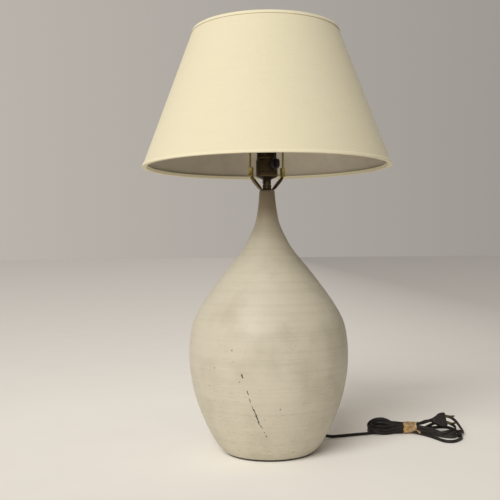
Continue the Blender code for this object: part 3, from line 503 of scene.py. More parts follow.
def plain_weave_cloth(name, colour, spacing):
    """Plain-weave cloth laminated to styrene: even cream, each thread a small ridge, with long slubs.
    Its threads are really about 0.4 mm apart and are drawn at twice that or more so that they show."""
    material, tree, shader = start_material(name, {"Roughness": 0.85, "Sheen Weight": 0.15, "Sheen Roughness": 0.5,
                                                   "Specular IOR Level": 0.3})
    place = add_node(tree, "ShaderNodeTexCoord").outputs["Object"]
    axes = add_node(tree, "ShaderNodeSeparateXYZ", {"Vector": place})
    angle = add_node(tree, "ShaderNodeMath", {0: axes.outputs["Y"], 1: axes.outputs["X"]},
                     operation="ARCTAN2").outputs[0]
    threads_round = float(round(math.tau * 0.162 / spacing))
    warp = add_node(tree, "ShaderNodeMath", {0: angle, 1: threads_round}, operation="MULTIPLY").outputs[0]
    warp = add_node(tree, "ShaderNodeMath", {0: warp}, operation="SINE").outputs[0]
    weft = add_node(tree, "ShaderNodeMath", {0: axes.outputs["Z"], 1: math.tau / spacing},
                    operation="MULTIPLY").outputs[0]
    weft = add_node(tree, "ShaderNodeMath", {0: weft}, operation="SINE").outputs[0]
    weave = add_node(tree, "ShaderNodeMath", {0: warp, 1: weft}, operation="MULTIPLY").outputs[0]
    # slubs: thicker stretches of thread, 2 mm tall and 40 mm long, and upright ones fainter
    level = add_node(tree, "ShaderNodeMapping", {"Vector": place, "Scale": (22.0, 22.0, 700.0)}).outputs["Vector"]
    level = add_node(tree, "ShaderNodeTexNoise", {"Vector": level, "Scale": 1.0, "Detail": 3.0}).outputs["Fac"]
    upright = add_node(tree, "ShaderNodeMapping", {"Vector": place, "Scale": (520.0, 520.0, 14.0)}).outputs["Vector"]
    upright = add_node(tree, "ShaderNodeTexNoise", {"Vector": upright, "Scale": 1.0, "Detail": 2.0}).outputs["Fac"]
    slubs = add_node(tree, "ShaderNodeMath", {0: level, 1: upright}, operation="ADD").outputs[0]
    height = add_node(tree, "ShaderNodeMath", {0: weave, 1: 0.22, 2: slubs}, operation="MULTIPLY_ADD").outputs[0]
    shade = add_node(tree, "ShaderNodeMapRange", {"Value": height, "From Min": 0.55, "From Max": 1.4,
                                                  "To Min": 0.0, "To Max": 1.0}).outputs["Result"]
    base = tuple(colour)
    tone = add_node(tree, "ShaderNodeValToRGB", {"Fac": shade}, stops=[
        (0.0, tuple(c * 0.955 for c in base)), (0.5, base), (1.0, tuple(min(1.0, c * 1.02) for c in base))])
    tree.links.new(tone.outputs["Color"], shader.inputs["Base Color"])
    bump = add_node(tree, "ShaderNodeBump", {"Height": height, "Strength": 0.22, "Distance": 0.1 * MM})
    tree.links.new(bump.outputs["Normal"], shader.inputs["Normal"])
    return material


def antique_bronze():
    """Brass sheet and strip with a dark oil-rubbed patina: nearly black-brown, rubbed back to bronze in
    patches and along turned edges."""
    name = "antique_bronze"
    if name in bpy.data.materials:
        return bpy.data.materials[name]
    material, tree, shader = start_material(name, {"Metallic": 0.85})
    place = add_node(tree, "ShaderNodeTexCoord").outputs["Object"]
    patches = add_node(tree, "ShaderNodeTexNoise", {"Vector": place, "Scale": 150.0, "Detail": 5.0}).outputs["Fac"]
    edges = add_node(tree, "ShaderNodeNewGeometry").outputs["Pointiness"]
    edges = add_node(tree, "ShaderNodeMapRange", {"Value": edges, "From Min": 0.51,
                                                  "From Max": 0.56}).outputs["Result"]
    rubbed = add_node(tree, "ShaderNodeMapRange", {"Value": patches, "From Min": 0.5, "From Max": 0.75,
                                                   "To Max": 0.6}).outputs["Result"]
    rubbed = add_node(tree, "ShaderNodeMath", {0: edges, 1: rubbed}, operation="MAXIMUM").outputs[0]
    tone = add_node(tree, "ShaderNodeValToRGB", {"Fac": rubbed}, stops=[
        (0.0, linear("2c2419")), (0.45, linear("4b3f2b")), (1.0, linear("766546"))])
    tree.links.new(tone.outputs["Color"], shader.inputs["Base Color"])
    shine = add_node(tree, "ShaderNodeMapRange", {"Value": patches, "To Min": 0.55, "To Max": 0.3}).outputs["Result"]
    tree.links.new(shine, shader.inputs["Roughness"])
    bump = add_node(tree, "ShaderNodeBump", {"Height": patches, "Strength": 0.4, "Distance": 0.04 * MM})
    tree.links.new(bump.outputs["Normal"], shader.inputs["Normal"])
    return material


def extruded_vinyl(colour):
    """Extruded soft vinyl on the flat cord: dark brown, satin, with dust and dull rubbed stretches, and
    faint lines along it from the die. It follows the cord's own UV map: u round it, v along it."""
    material, tree, shader = start_material("extruded_vinyl", {"IOR": 1.5, "Specular IOR Level": 0.3})
    along = add_node(tree, "ShaderNodeUVMap", uv_map="along_cord").outputs["UV"]
    drawn = add_node(tree, "ShaderNodeMapping", {"Vector": along, "Scale": (9.0, 14.0, 1.0)}).outputs["Vector"]
    lines = add_node(tree, "ShaderNodeTexNoise", {"Vector": drawn, "Scale": 1.0, "Detail": 3.0}).outputs["Fac"]
    place = add_node(tree, "ShaderNodeTexCoord").outputs["Object"]
    dust = add_node(tree, "ShaderNodeTexNoise", {"Vector": place, "Scale": 90.0, "Detail": 5.0}).outputs["Fac"]
    mixed = add_node(tree, "ShaderNodeMath", {0: lines, 1: dust}, operation="ADD").outputs[0]
    base = tuple(colour)
    shade = add_node(tree, "ShaderNodeMapRange", {"Value": mixed, "From Min": 0.75,
                                                  "From Max": 1.3}).outputs["Result"]
    tone = add_node(tree, "ShaderNodeValToRGB", {"Fac": shade}, stops=[
        (0.0, tuple(c * 0.75 for c in base)), (0.6, base), (1.0, tuple(c * 1.9 for c in base))])
    tree.links.new(tone.outputs["Color"], shader.inputs["Base Color"])
    shine = add_node(tree, "ShaderNodeMapRange", {"Value": dust, "From Min": 0.3, "From Max": 0.7,
                                                  "To Min": 0.45, "To Max": 0.62}).outputs["Result"]
    tree.links.new(shine, shader.inputs["Roughness"])
    bump = add_node(tree, "ShaderNodeBump", {"Height": lines, "Strength": 0.3, "Distance": 0.08 * MM})
    tree.links.new(bump.outputs["Normal"], shader.inputs["Normal"])
    return material


def crumpled_kraft_paper(colour):
    """Kraft paper strip, crumpled and wound on: tan, with pale and dark facets, sharp creases darkened as painted
    shade in them, and a few glints where a waxed or gilt face shows."""
    material, tree, shader = start_material("crumpled_kraft_paper", {"Roughness": 0.6})
    place = add_node(tree, "ShaderNodeTexCoord").outputs["Object"]
    facets = add_node(tree, "ShaderNodeTexVoronoi", {"Vector": place, "Scale": 210.0}, feature="F1")
    creases = add_node(tree, "ShaderNodeTexVoronoi", {"Vector": place, "Scale": 210.0},
                       feature="DISTANCE_TO_EDGE").outputs["Distance"]
    crease = add_node(tree, "ShaderNodeMapRange", {"Value": creases, "From Min": 0.0,
                                                   "From Max": 0.12}).outputs["Result"]
    base = tuple(colour)
    tone = add_node(tree, "ShaderNodeValToRGB", {"Fac": facets.outputs["Color"]}, stops=[
        (0.15, tuple(c * 0.55 for c in base)), (0.45, base), (0.7, tuple(min(1, c * 1.25) for c in base)),
        (0.92, linear("ab8c45"))]).outputs["Color"]
    # painted shade: the colour darkens along the creases
    line = add_node(tree, "ShaderNodeValToRGB", {"Fac": crease}, stops=[(0.0, (0.6, 0.56, 0.5)),
                                                                        (1.0, (1, 1, 1))]).outputs["Color"]
    tone = add_node(tree, "ShaderNodeMix", {0: 0.8, MIX_A: tone, MIX_B: line}, data_type="RGBA",
                    blend_type="MULTIPLY").outputs[MIX_RESULT]
    tree.links.new(tone, shader.inputs["Base Color"])
    bump = add_node(tree, "ShaderNodeBump", {"Height": crease, "Strength": 0.6, "Distance": 0.4 * MM})
    tree.links.new(bump.outputs["Normal"], shader.inputs["Normal"])
    return material


# ---------------------------------------------------------------- the stage

CAMERA_PLACE = (0.0, -1.2634, 0.3270)          # metres, in front of the lamp at about half its height
CAMERA_YAW, CAMERA_PITCH, CAMERA_ROLL = 0.0229, 0.0021, -0.0098
CAMERA_LENS, CAMERA_SENSOR = 55.22, 36.0
KEY_DIRECTION = (-0.350, -0.751, 0.559)        # from the lamp towards the light
KEY_STRENGTH, KEY_SPREAD = 2.4, math.radians(38)       # a wide light, for soft shadows
# Where along X, as a share from far left to far right, each tone of the surroundings lies
AIR_LEFT_AT, AIR_RIGHT_AT, AIR_SIDE_AT = 0.33, 0.67, 0.82
FLOOR_RADIUS = 40.0            # metres, so that its edge is lost at the horizon
# Metres: how far the near tone reaches, and the distance past that at which the far tone is half mixed in, for the
# floor's painted falloff of the light
FLOOR_NEAR, FLOOR_FADE = 0.45, 2.0


class LAMP_OT_stage(bpy.types.Operator):
    """Set the camera, the soft light and the pale floor"""
    bl_idname = "pottery_lamp.stage"
    bl_label = "Stage"

    def execute(self, context):
        colours = context.scene.lamp_colours
        camera = bpy.data.objects.new("front_camera", bpy.data.cameras.new("front_camera"))
        context.scene.collection.objects.link(camera)
        camera.data.lens, camera.data.sensor_width = CAMERA_LENS, CAMERA_SENSOR
        camera.matrix_world = (Matrix.Translation(CAMERA_PLACE) @ Matrix.Rotation(CAMERA_YAW, 4, "Z")
                               @ Matrix.Rotation(math.pi / 2 + CAMERA_PITCH, 4, "X")
                               @ Matrix.Rotation(CAMERA_ROLL, 4, "Z"))
        context.scene.camera = camera
        context.scene.view_settings.view_transform = "Standard"

        deselect_all()
        bpy.ops.object.light_add(type="SUN")
        key = context.object
        key.name = "soft_key"
        key.data.energy, key.data.angle = KEY_STRENGTH, KEY_SPREAD
        key.data.color = (1.0, 0.985, 0.96)
        key.rotation_euler = Vector(KEY_DIRECTION).to_track_quat("Z", "Y").to_euler()

        world = bpy.data.worlds.new("soft_room")
        context.scene.world = world
        world.use_nodes = True
        tree = world.node_tree
        sideways = add_node(tree, "ShaderNodeTexCoord").outputs["Generated"]
        sideways = add_node(tree, "ShaderNodeSeparateXYZ", {"Vector": sideways}).outputs["X"]
        sideways = add_node(tree, "ShaderNodeMapRange", {"Value": sideways, "From Min": -1.0,
                                                         "From Max": 1.0}).outputs["Result"]
        air = add_node(tree, "ShaderNodeValToRGB", {"Fac": sideways}, stops=[
            (AIR_LEFT_AT, tuple(colours.air)), (AIR_RIGHT_AT, tuple(colours.air_right)),
            (AIR_SIDE_AT, tuple(colours.air_side))]).outputs["Color"]
        tree.links.new(air, tree.nodes["Background"].inputs["Color"])
        tree.nodes["Background"].inputs["Strength"].default_value = 1.0

        # painted board floor: pale in front and greyer far off, a painted falloff of the light, and painted shade
        # towards the right, with a faint mottle
        deselect_all()
        bpy.ops.mesh.primitive_circle_add(vertices=96, radius=FLOOR_RADIUS, fill_type="NGON", location=(0, 0, 0))
        floor = context.object
        floor.name = "pale_floor"
        material, tree, shader = start_material("painted_board_floor", {"Roughness": 0.9, "Specular IOR Level": 0.0})
        place = add_node(tree, "ShaderNodeTexCoord").outputs["Object"]
        away = add_node(tree, "ShaderNodeVectorMath", {0: place, 1: (-0.1, 0.0, 0.0)},
                        operation="DISTANCE").outputs["Value"]
        away = add_node(tree, "ShaderNodeMath", {0: away, 1: FLOOR_NEAR}, operation="SUBTRACT").outputs[0]
        away = add_node(tree, "ShaderNodeMath", {0: away, 1: 0.0}, operation="MAXIMUM").outputs[0]
        further = add_node(tree, "ShaderNodeMath", {0: away, 1: FLOOR_FADE}, operation="ADD").outputs[0]
        share = add_node(tree, "ShaderNodeMath", {0: away, 1: further}, operation="DIVIDE").outputs[0]
        mottle = add_node(tree, "ShaderNodeTexNoise", {"Vector": place, "Scale": 9.0, "Detail": 3.0}).outputs["Fac"]
        mottle = add_node(tree, "ShaderNodeMapRange", {"Value": mottle, "To Min": 0.98,
                                                       "To Max": 1.02}).outputs["Result"]
        tone = add_node(tree, "ShaderNodeMix", {0: share, MIX_A: (*colours.floor_near, 1),
                                                MIX_B: (*colours.floor_far, 1)},
                        data_type="RGBA").outputs[MIX_RESULT]
        tone = add_node(tree, "ShaderNodeVectorMath", {0: tone, "Scale": mottle}, operation="SCALE").outputs[0]
        # painted shade: the floor darkens towards the right
        across = add_node(tree, "ShaderNodeSeparateXYZ", {"Vector": place}).outputs["X"]
        across = add_node(tree, "ShaderNodeMapRange", {"Value": across, "From Min": 0.15, "From Max": 1.3,
                                                       "To Min": 1.0, "To Max": 0.71}).outputs["Result"]
        tone = add_node(tree, "ShaderNodeVectorMath", {0: tone, "Scale": across}, operation="SCALE").outputs[0]
        tree.links.new(tone, shader.inputs["Base Color"])
        floor.data.materials.append(material)
        return {"FINISHED"}


# ---------------------------------------------------------------- the cord

TIE_CENTRE = np.array([250.5, 110.25, 0.0])
TIE_HEADING = math.radians(-7.7)
HANK_ALONG = np.array([math.cos(TIE_HEADING), math.sin(TIE_HEADING), 0.0])
HANK_ACROSS = np.array([-math.sin(TIE_HEADING), math.cos(TIE_HEADING), 0.0])
# Each strand's place in the tie, as (column, layer)
STRAND_SLOTS = [(-1, 0), (1, 0), (-1, 1), (1, 1), (-1, 2), (1, 2), (0, 1), (0, 0), (0, 2)]
LEAD = [(100, 76, 5.6), (111, 79.5, 3.2), (124, 83.5, 2.8), (138, 88.5, 2.8), (152, 93.5, 2.8), (164, 97.5, 2.8),
        (180, 102, 2.8), (200, 106, 2.9), (222, 108.5, 3.3)]
# Each loop: length, swing in degrees, width at the near and far side, height at the near side, the fold, the far side
RIGHT_LOOPS = [(92, -20, 50, 10, 2.9, 2.9, 3.2), (89, -8, 24, 16, 3.5, 3.2, 12), (93, 3, 16, 30, 5.0, 4.5, 28),
               (79, 3, 20, 14, 7.0, 13, 21)]
LEFT_LOOPS = [(74, 0, 17, 17, 3.2, 6, 12), (73, 2, 15, 19, 5, 11, 23), (71, -1, 15, 17, 8, 12, 18),
              (68, 1, 12, 15, 11, 14, 18)]
CORD_STEP = 3.0
TUBE_STEP = 1.5                             # distance between the cord's rings of vertices
SETTLE_PUSH, SETTLE_EASE, SETTLE_WEIGHT, SETTLE_PULL = 0.25, 0.06, 0.004, 0.25     # each round's share of each move
STRAND_GAP = np.array([3.5, 3.5, 5.6])      # how close two strands lie, side by side and one on the other
CORD_FLOOR = 2.78


def hank_loop(start, end, side, loop):
    """One loop of the hank, from one slot in the tie out and back to another; side is 1 right, -1 left."""
    length, swing, near, far, z_near, z_fold, z_far = loop
    (from_column, from_layer), (to_column, to_layer) = STRAND_SLOTS[start], STRAND_SLOTS[end]
    heights = [4.7 + 5.7 * from_layer, z_near, z_fold, z_far, 4.7 + 5.7 * to_layer]
    if side < 0:
        heights[1], heights[3] = z_far, z_near
    points = []
    for s in np.linspace(0, 1, 16):
        out = length * math.sin(math.pi * s)
        blend = (1 - math.cos(math.pi * s)) / 2
        across = 3.55 * (from_column * (1 - blend) + to_column * blend)
        bulge = near if (s < 0.5) == (side > 0) else far
        across -= side * math.sin(2 * math.pi * s) * math.sin(math.pi * s) ** 0.7 * bulge
        quarter = min(3, int(s * 4))
        t = s * 4 - quarter
        t = t * t * (3 - 2 * t)
        height = heights[quarter] * (1 - t) + heights[quarter + 1] * t
        turn = math.radians(swing) * min(1, out / length)
        along = HANK_ALONG * math.cos(turn) + HANK_ACROSS * math.sin(turn)
        aside = HANK_ACROSS * math.cos(turn) - HANK_ALONG * math.sin(turn)
        points.append(TIE_CENTRE + side * out * along + across * aside + (0, 0, height))
    return points


def settle(path, rounds=300):
    """Let the cord settle: strands push apart, bends ease, it keeps its length and lies on the floor."""
    path = path.copy()
    count = len(path)
    held = np.zeros(count, bool)
    held[:8] = held[-5:] = True
    offset = path - TIE_CENTRE
    held |= (np.abs(offset @ HANK_ALONG) < 9) & (np.abs(offset @ HANK_ACROSS) < 8) & (path[:, 2] < 21)
    step = np.linalg.norm(np.diff(path, axis=0), axis=1).mean()
    order = np.arange(count)
    apart = np.abs(order[:, None] - order[None]) > 6
    for _ in range(rounds):
        between = path[:, None] - path[None]
        near = np.sqrt(((between / STRAND_GAP) ** 2).sum(2))
        i, j = np.nonzero((near < 1) & apart)
        move = np.zeros_like(path)
        if len(i):
            slope = between[i, j] / STRAND_GAP ** 2 / np.maximum(near[i, j], 1e-3)[:, None]
            steep = np.maximum(np.linalg.norm(slope, axis=1, keepdims=True), 1e-9)
            np.add.at(move, i, slope / steep * SETTLE_PUSH * (1 - near[i, j])[:, None] / steep)
        bend = np.zeros_like(path)
        bend[1:-1] = path[:-2] + path[2:] - 2 * path[1:-1]
        move[2:-2] -= SETTLE_EASE * (bend[1:-3] + bend[3:-1] - 2 * bend[2:-2])
        move[:, 2] -= SETTLE_WEIGHT * (path[:, 2] > 3)
        link = np.diff(path, axis=0)
        length = np.linalg.norm(link, axis=1, keepdims=True)
        pull = SETTLE_PULL * (length - step) * link / length
        move[:-1] += pull
        move[1:] -= pull
        move[held] = 0
        path += move
        path[:, 2] = np.where(held, path[:, 2], np.maximum(path[:, 2], CORD_FLOOR))
    return path


def cord_path():
    """The whole route: out of the bushing, into the hank, through its loops, and on to the plug."""
    points = [polar(CORD_AZIMUTH, 98.3, CORD_EXIT_Z), polar(CORD_AZIMUTH, 108, 9.6), *LEAD]
    pairs = zip(RIGHT_LOOPS, LEFT_LOOPS)
    turns = [(loop, side) for pair in pairs for loop, side in zip(pair, (1, -1))]
    for slot, (loop, side) in enumerate(turns):
        points += hank_loop(slot, slot + 1, side, loop)[0 if slot == 0 else 1:]
    behind, rear = [tuple(PLUG_PLACE @ Vector((-x * MM, 0, 0)) / MM) for x in (22.0, 14.6)]
    points += [(266.0, 107.5, 19.0), (271.5, 101.5, 23.0), (*behind[:2], 26.3), rear]
    return settle(smooth_line(points, CORD_STEP, steps=16))


def cord_section(width):
    """Two round cores side by side with a web between: (across the wide side, across the thin side)."""
    core = width * 0.2685
    centre = width / 2 - core
    half = [(centre + core * math.cos(a), core * math.sin(a)) for a in np.radians(np.linspace(-115, 115, 9))]
    return half + [(0.0, core * 0.72)] + [(-x, -y) for x, y in half] + [(0.0, -core * 0.72)]


def sweep_cord(name, path, section):
    """A tube of one section along the path, its wide side upright with a slow roll, and a UV map along it."""
    path = np.array(path)
    tangent = np.gradient(path, axis=0)
    tangent /= np.linalg.norm(tangent, axis=1, keepdims=True)
    distance = np.r_[0, np.cumsum(np.linalg.norm(np.diff(path, axis=0), axis=1))]
    wide = np.array([0, 0, 1.0]) - tangent[:, 2:] * tangent
    wide /= np.linalg.norm(wide, axis=1, keepdims=True)
    thin = np.cross(tangent, wide)
    roll = 0.16 * np.sin(distance / 61.0) + 0.10 * np.sin(distance / 23.0 + 1.0)
    roll *= np.clip(distance / 20, 0, 1) * np.clip((distance[-1] - distance) / 20, 0, 1)
    cosine, sine = np.cos(roll)[:, None], np.sin(roll)[:, None]
    wide, thin = wide * cosine + thin * sine, thin * cosine - wide * sine
    rings = [path + w * wide + t * thin for w, t in section]
    verts = np.stack(rings, 1).reshape(-1, 3) * MM
    sides, rows = len(section), len(path)
    faces = [(r * sides + i, r * sides + (i + 1) % sides, (r + 1) * sides + (i + 1) % sides, (r + 1) * sides + i)
             for r in range(rows - 1) for i in range(sides)]
    faces += [tuple(reversed(range(sides))), tuple(range((rows - 1) * sides, rows * sides))]
    mesh = bpy.data.meshes.new(name)
    mesh.from_pydata([tuple(v) for v in verts], [], faces)
    layer = mesh.uv_layers.new(name="along_cord")
    for polygon in mesh.polygons:
        ends = [mesh.loops[k].vertex_index % sides for k in polygon.loop_indices]
        wrapped = max(ends) - min(ends) > sides / 2
        for k, column in zip(polygon.loop_indices, ends):
            around = (column + sides if wrapped and column < sides / 2 else column) / sides
            layer.data[k].uv = (around, distance[mesh.loops[k].vertex_index // sides] * MM)
    piece = bpy.data.objects.new(name, mesh)
    bpy.context.scene.collection.objects.link(piece)
    select_only(piece)
    bpy.ops.object.mode_set(mode="EDIT")
    bpy.ops.mesh.select_all(action="SELECT")
    bpy.ops.mesh.normals_make_consistent(inside=False)
    bpy.ops.object.mode_set(mode="OBJECT")
    return piece


class LAMP_OT_cord(bpy.types.Operator):
    """Make the flat cord, its bushing, the paper tie and the plug"""
    bl_idname = "pottery_lamp.cord"
    bl_label = "Cord, tie and plug"

    def execute(self, context):
        sizes, colours = context.scene.lamp_sizes, context.scene.lamp_colours
        fine = smooth_line(cord_path(), TUBE_STEP, steps=4)
        cord = sweep_cord("mains_cord", fine, cord_section(sizes.cord_width / MM))
        finished(cord, "base", extruded_vinyl(colours.cord), ["cord_lead", "cord_hank", "cord_tail"],
                 50)
        self.make_bushing()
        tie = self.make_tie(sizes, colours)
        plug = self.make_plug()
        return {"FINISHED"}

    def make_bushing(self):
        """A soft tapered bushing with three grooves, in its flange against the wall."""
        outline = [(4.6, 73.0), (4.6, 81.3), (7.0, 81.3), (7.0, 83.2), (6.6, 83.8), (5.7, 84.2)]
        for groove in (86.2, 89.2, 92.2):
            radius = 5.7 - (groove - 84.2) * 0.11
            outline += [(radius, groove - 0.7), (radius - 0.7, groove), (radius - 0.1, groove + 0.7)]
        outline += [(4.3, 96.6), (3.8, 98.0), (3.0, 98.0), (3.0, 73.0)]
        bushing = soften(lathe("cord_bushing", outline, 40, level_axis(CORD_AZIMUTH, CORD_EXIT_Z)), 0.2)
        finished(bushing, "base", plain_finish("moulded_vinyl"), ["cord_relief"])

    def make_tie(self, sizes, colours):
        """A strip of paper wound round the bundle, crumpled, with its twisted end standing out."""
        deselect_all()
        bpy.ops.mesh.primitive_cylinder_add(vertices=56, radius=1.0, depth=1.0, end_fill_type="NOTHING",
                                            location=(0, 0, 0))
        tie = context_piece("paper_tie")
        bpy.ops.object.mode_set(mode="EDIT")
        bpy.ops.mesh.select_all(action="SELECT")
        bpy.ops.mesh.subdivide(number_cuts=15)
        bpy.ops.object.mode_set(mode="OBJECT")
        rng = np.random.default_rng(7)
        waves = rng.uniform(-1, 1, (9, 4))
        for vertex in tie.data.vertices:
            angle, station = math.atan2(vertex.co.y, vertex.co.x), vertex.co.z
            crumple = sum(w[0] * math.sin(w[1] * 9 * angle + w[2] * 14 * station + w[3] * 6) for w in waves) / 3
            crumple = abs(crumple) - 0.35
            flare = 0.06 * abs(station * 2) ** 3
            size = 1 + flare
            cosine, sine = math.cos(angle), math.sin(angle)
            square = (abs(cosine) ** 3.2 + abs(sine) ** 3.2) ** (-1 / 3.2)
            across = cosine * square * 6.9 * size + cosine * crumple * sizes.crumple / MM
            upward = sine * square * 9.4 * size + sine * crumple * sizes.crumple / MM
            ragged = 0.5 * math.sin(angle * 7) + 0.3 * math.sin(angle * 13 + 1)
            along = station * 22.5 + ragged * (abs(station) > 0.45)
            point = TIE_CENTRE + along * HANK_ALONG - across * HANK_ACROSS + (0, 0, 10.9 + upward)
            point[2] = max(point[2], 0.6)
            vertex.co = Vector(point) * MM
        modify(tie, "SOLIDIFY", thickness=0.35 * MM, offset=0.0)
        bpy.ops.object.mode_set(mode="EDIT")
        tidy_mesh()
        paper = crumpled_kraft_paper(colours.paper)
        finished(tie, "base", paper, ["hank_tie"], 25)
        tail = smooth_line([(261, 101.5, 8), (264.5, 98.6, 5.6), (268, 96.4, 3.4), (271.5, 95.6, 2.6)], 0.8)
        end = bent_wire("tie_end", tail, 1.5, sides=2)
        for vertex in end.data.vertices:
            share = (vertex.co.x / MM - 261) / 10.5
            wring = math.sin(share * 19 + math.atan2(vertex.co.z / MM - 6 + share * 4, vertex.co.y / MM - 98) * 2)
            vertex.co += vertex.normal * (1.4 * share * share + 0.5 * wring) * MM
        finished(end, "base", paper, angle=25)
        return tie

    def make_plug(self):
        """A flat moulded plug with a waisted body and grip ribs, and two pierced blades."""
        outline = [(-14, -3.6), (-10, -5.6), (-6, -8.0), (-3, -10.4), (1, -12.2), (5, -12.8), (9, -13.0),
                   (10.4, -12.4), (11, -11.2)]
        outline += [(x, -z) for x, z in reversed(outline)]
        turned_up = PLUG_PLACE @ Matrix.Rotation(math.pi / 2, 4, "X")
        body = soften(prism("plug_housing", outline, 9.0), 1.5, 4)
        for side in (-1, 1):
            for x in (-1.0, 2.0, 5.0, 8.0):
                deselect_all()
                bpy.ops.mesh.primitive_cylinder_add(vertices=20, radius=0.75 * MM, depth=17 * MM,
                                                    location=(x * MM, side * 4.75 * MM, 0))
                weld(body, context_piece("grip_groove"), "DIFFERENCE")
        placed(body, turned_up)
        vinyl = plain_finish("moulded_vinyl")
        finished(body, "base", vinyl, ["plug_body"])
        pins = []
        for number, side in ((1, -1), (2, 1)):
            blade = soften(prism(f"plug_pin_{number}", [(11.1, -3.15), (26.6, -3.15), (28.3, -1.6), (28.3, 1.6),
                                                        (26.6, 3.15),
                                                       (11.1, 3.15)], 1.5), 0.25)
            deselect_all()
            bpy.ops.mesh.primitive_cylinder_add(vertices=24, radius=1.5 * MM, depth=6 * MM,
                                                location=(24.6 * MM, 0, 0),
                                                rotation=(math.pi / 2, 0, 0))
            weld(blade, context_piece("blade_hole"), "DIFFERENCE")
            placed(blade, PLUG_PLACE @ Matrix.Translation((0, side * 6.35 * MM, 0)))
            pins.append(finished(blade, "base", antique_bronze(), [f"plug_blade_{number}"]))
        return [body, *pins]


# ---------------------------------------------------------------- the body

# The proud ridges left on the wall, as (height, width)
RIDGES = [(77.5, 1.3), (118.0, 1.0), (129.2, 1.6), (145.7, 1.2), (173.8, 1.5), (194.3, 1.3), (262.0, 1.0)]


def ring_relief(height):
    """How far the wall stands out at a height, as a share of the ring depth: finger rings and a few ridges."""
    fingers = (math.sin(math.tau * height / 6.3 + 0.9 * math.sin(height / 23))
               + 0.7 * math.sin(math.tau * height / 10.9 + 2.0 + math.sin(height / 31)))
    fingers *= 0.6 + 0.4 * math.sin(height / 37 + 1)
    ridges = sum(2.4 * math.exp(-((height - at) / width) ** 2) for at, width in RIDGES)
    ends = min(1.0, (height - 5) / 15, (426 - height) / 30)
    return (fingers + ridges) * max(0.0, ends)


class LAMP_OT_body(bpy.types.Operator):
    """Throw the stoneware body and lay the felt under it"""
    bl_idname = "pottery_lamp.body"
    bl_label = "Stoneware body"

    def execute(self, context):
        sizes, colours = context.scene.lamp_sizes, context.scene.lamp_colours
        profile = smooth_line(BODY_PROFILE, 3.0)
        depth = sizes.ring_depth / MM

        def wall(height):
            return float(np.interp(height, profile[:, 1], profile[:, 0]))
        heights = np.r_[np.arange(426.0, 5.0, -1.15), 4.9]
        outer = [(wall(z) + depth * ring_relief(z), z) for z in heights]
        rim = [(6.2, 427.5), (10.6, 427.5), (11.6, 427.2)]
        foot = [(75.2, 3.9), (74.2, 3.3), (63.6, 3.3), (63.0, 3.8), (72.0, 18), (76.0, 27), (71.0, 34), (5.15, 34),
                (5.15, 42)]
        inside = [(wall(42) - 18.5, 42), (wall(50) - 8.5, 50)]
        inside += [(wall(z) - 6.8, z) for z in (75, 115, 160, 200, 232, 268, 304, 328)]
        inside += [(wall(350) - 7.5, 350), (max(6.2, wall(374) - 6.5), 374), (6.2, 392)]
        body = lathe("thrown_body", rim + outer + foot + inside, 160)
        clay = bpy.data.textures.new("clay_wobble", "CLOUDS")
        clay.noise_scale = 0.07
        modify(body, "DISPLACE", texture=clay, strength=sizes.wobble, mid_level=0.5, texture_coords="LOCAL")
        deselect_all()
        bpy.ops.mesh.primitive_cylinder_add(vertices=48, radius=7.4 * MM, depth=30 * MM)
        drilled = level_axis(CORD_AZIMUTH, CORD_EXIT_Z) @ Matrix.Translation((0, 0, 96 * MM))
        hole = placed(context_piece("cord_hole"), drilled)
        weld(body, hole, "DIFFERENCE")
        finished(body, "base", matte_stoneware_glaze(colours.glaze), ["ceramic_body"], 40)

        felt = lathe("foot_felt", [(0, 3.0), (70.6, 3.0), (71.3, 2.6), (71.5, 2.0), (71.5, 0.6), (71.0, 0), (0, 0)],
                     128)
        finished(felt, "base", plain_finish("pressed_wool_felt"), ["felt_pad"])
        return {"FINISHED"}


# ---------------------------------------------------------------- harp and saddle

HARP_ROUTE = [(28.8, 452.0), (28.8, 470.0), (28.8, 487.0), (31.0, 500.0), (38.5, 515.0), (48.5, 537.0), (56.0, 568.0),
              (57.0, 605.0), (48.0, 640.0), (30.0, 663.0), (14.0, 671.0), (0.0, 672.0)]


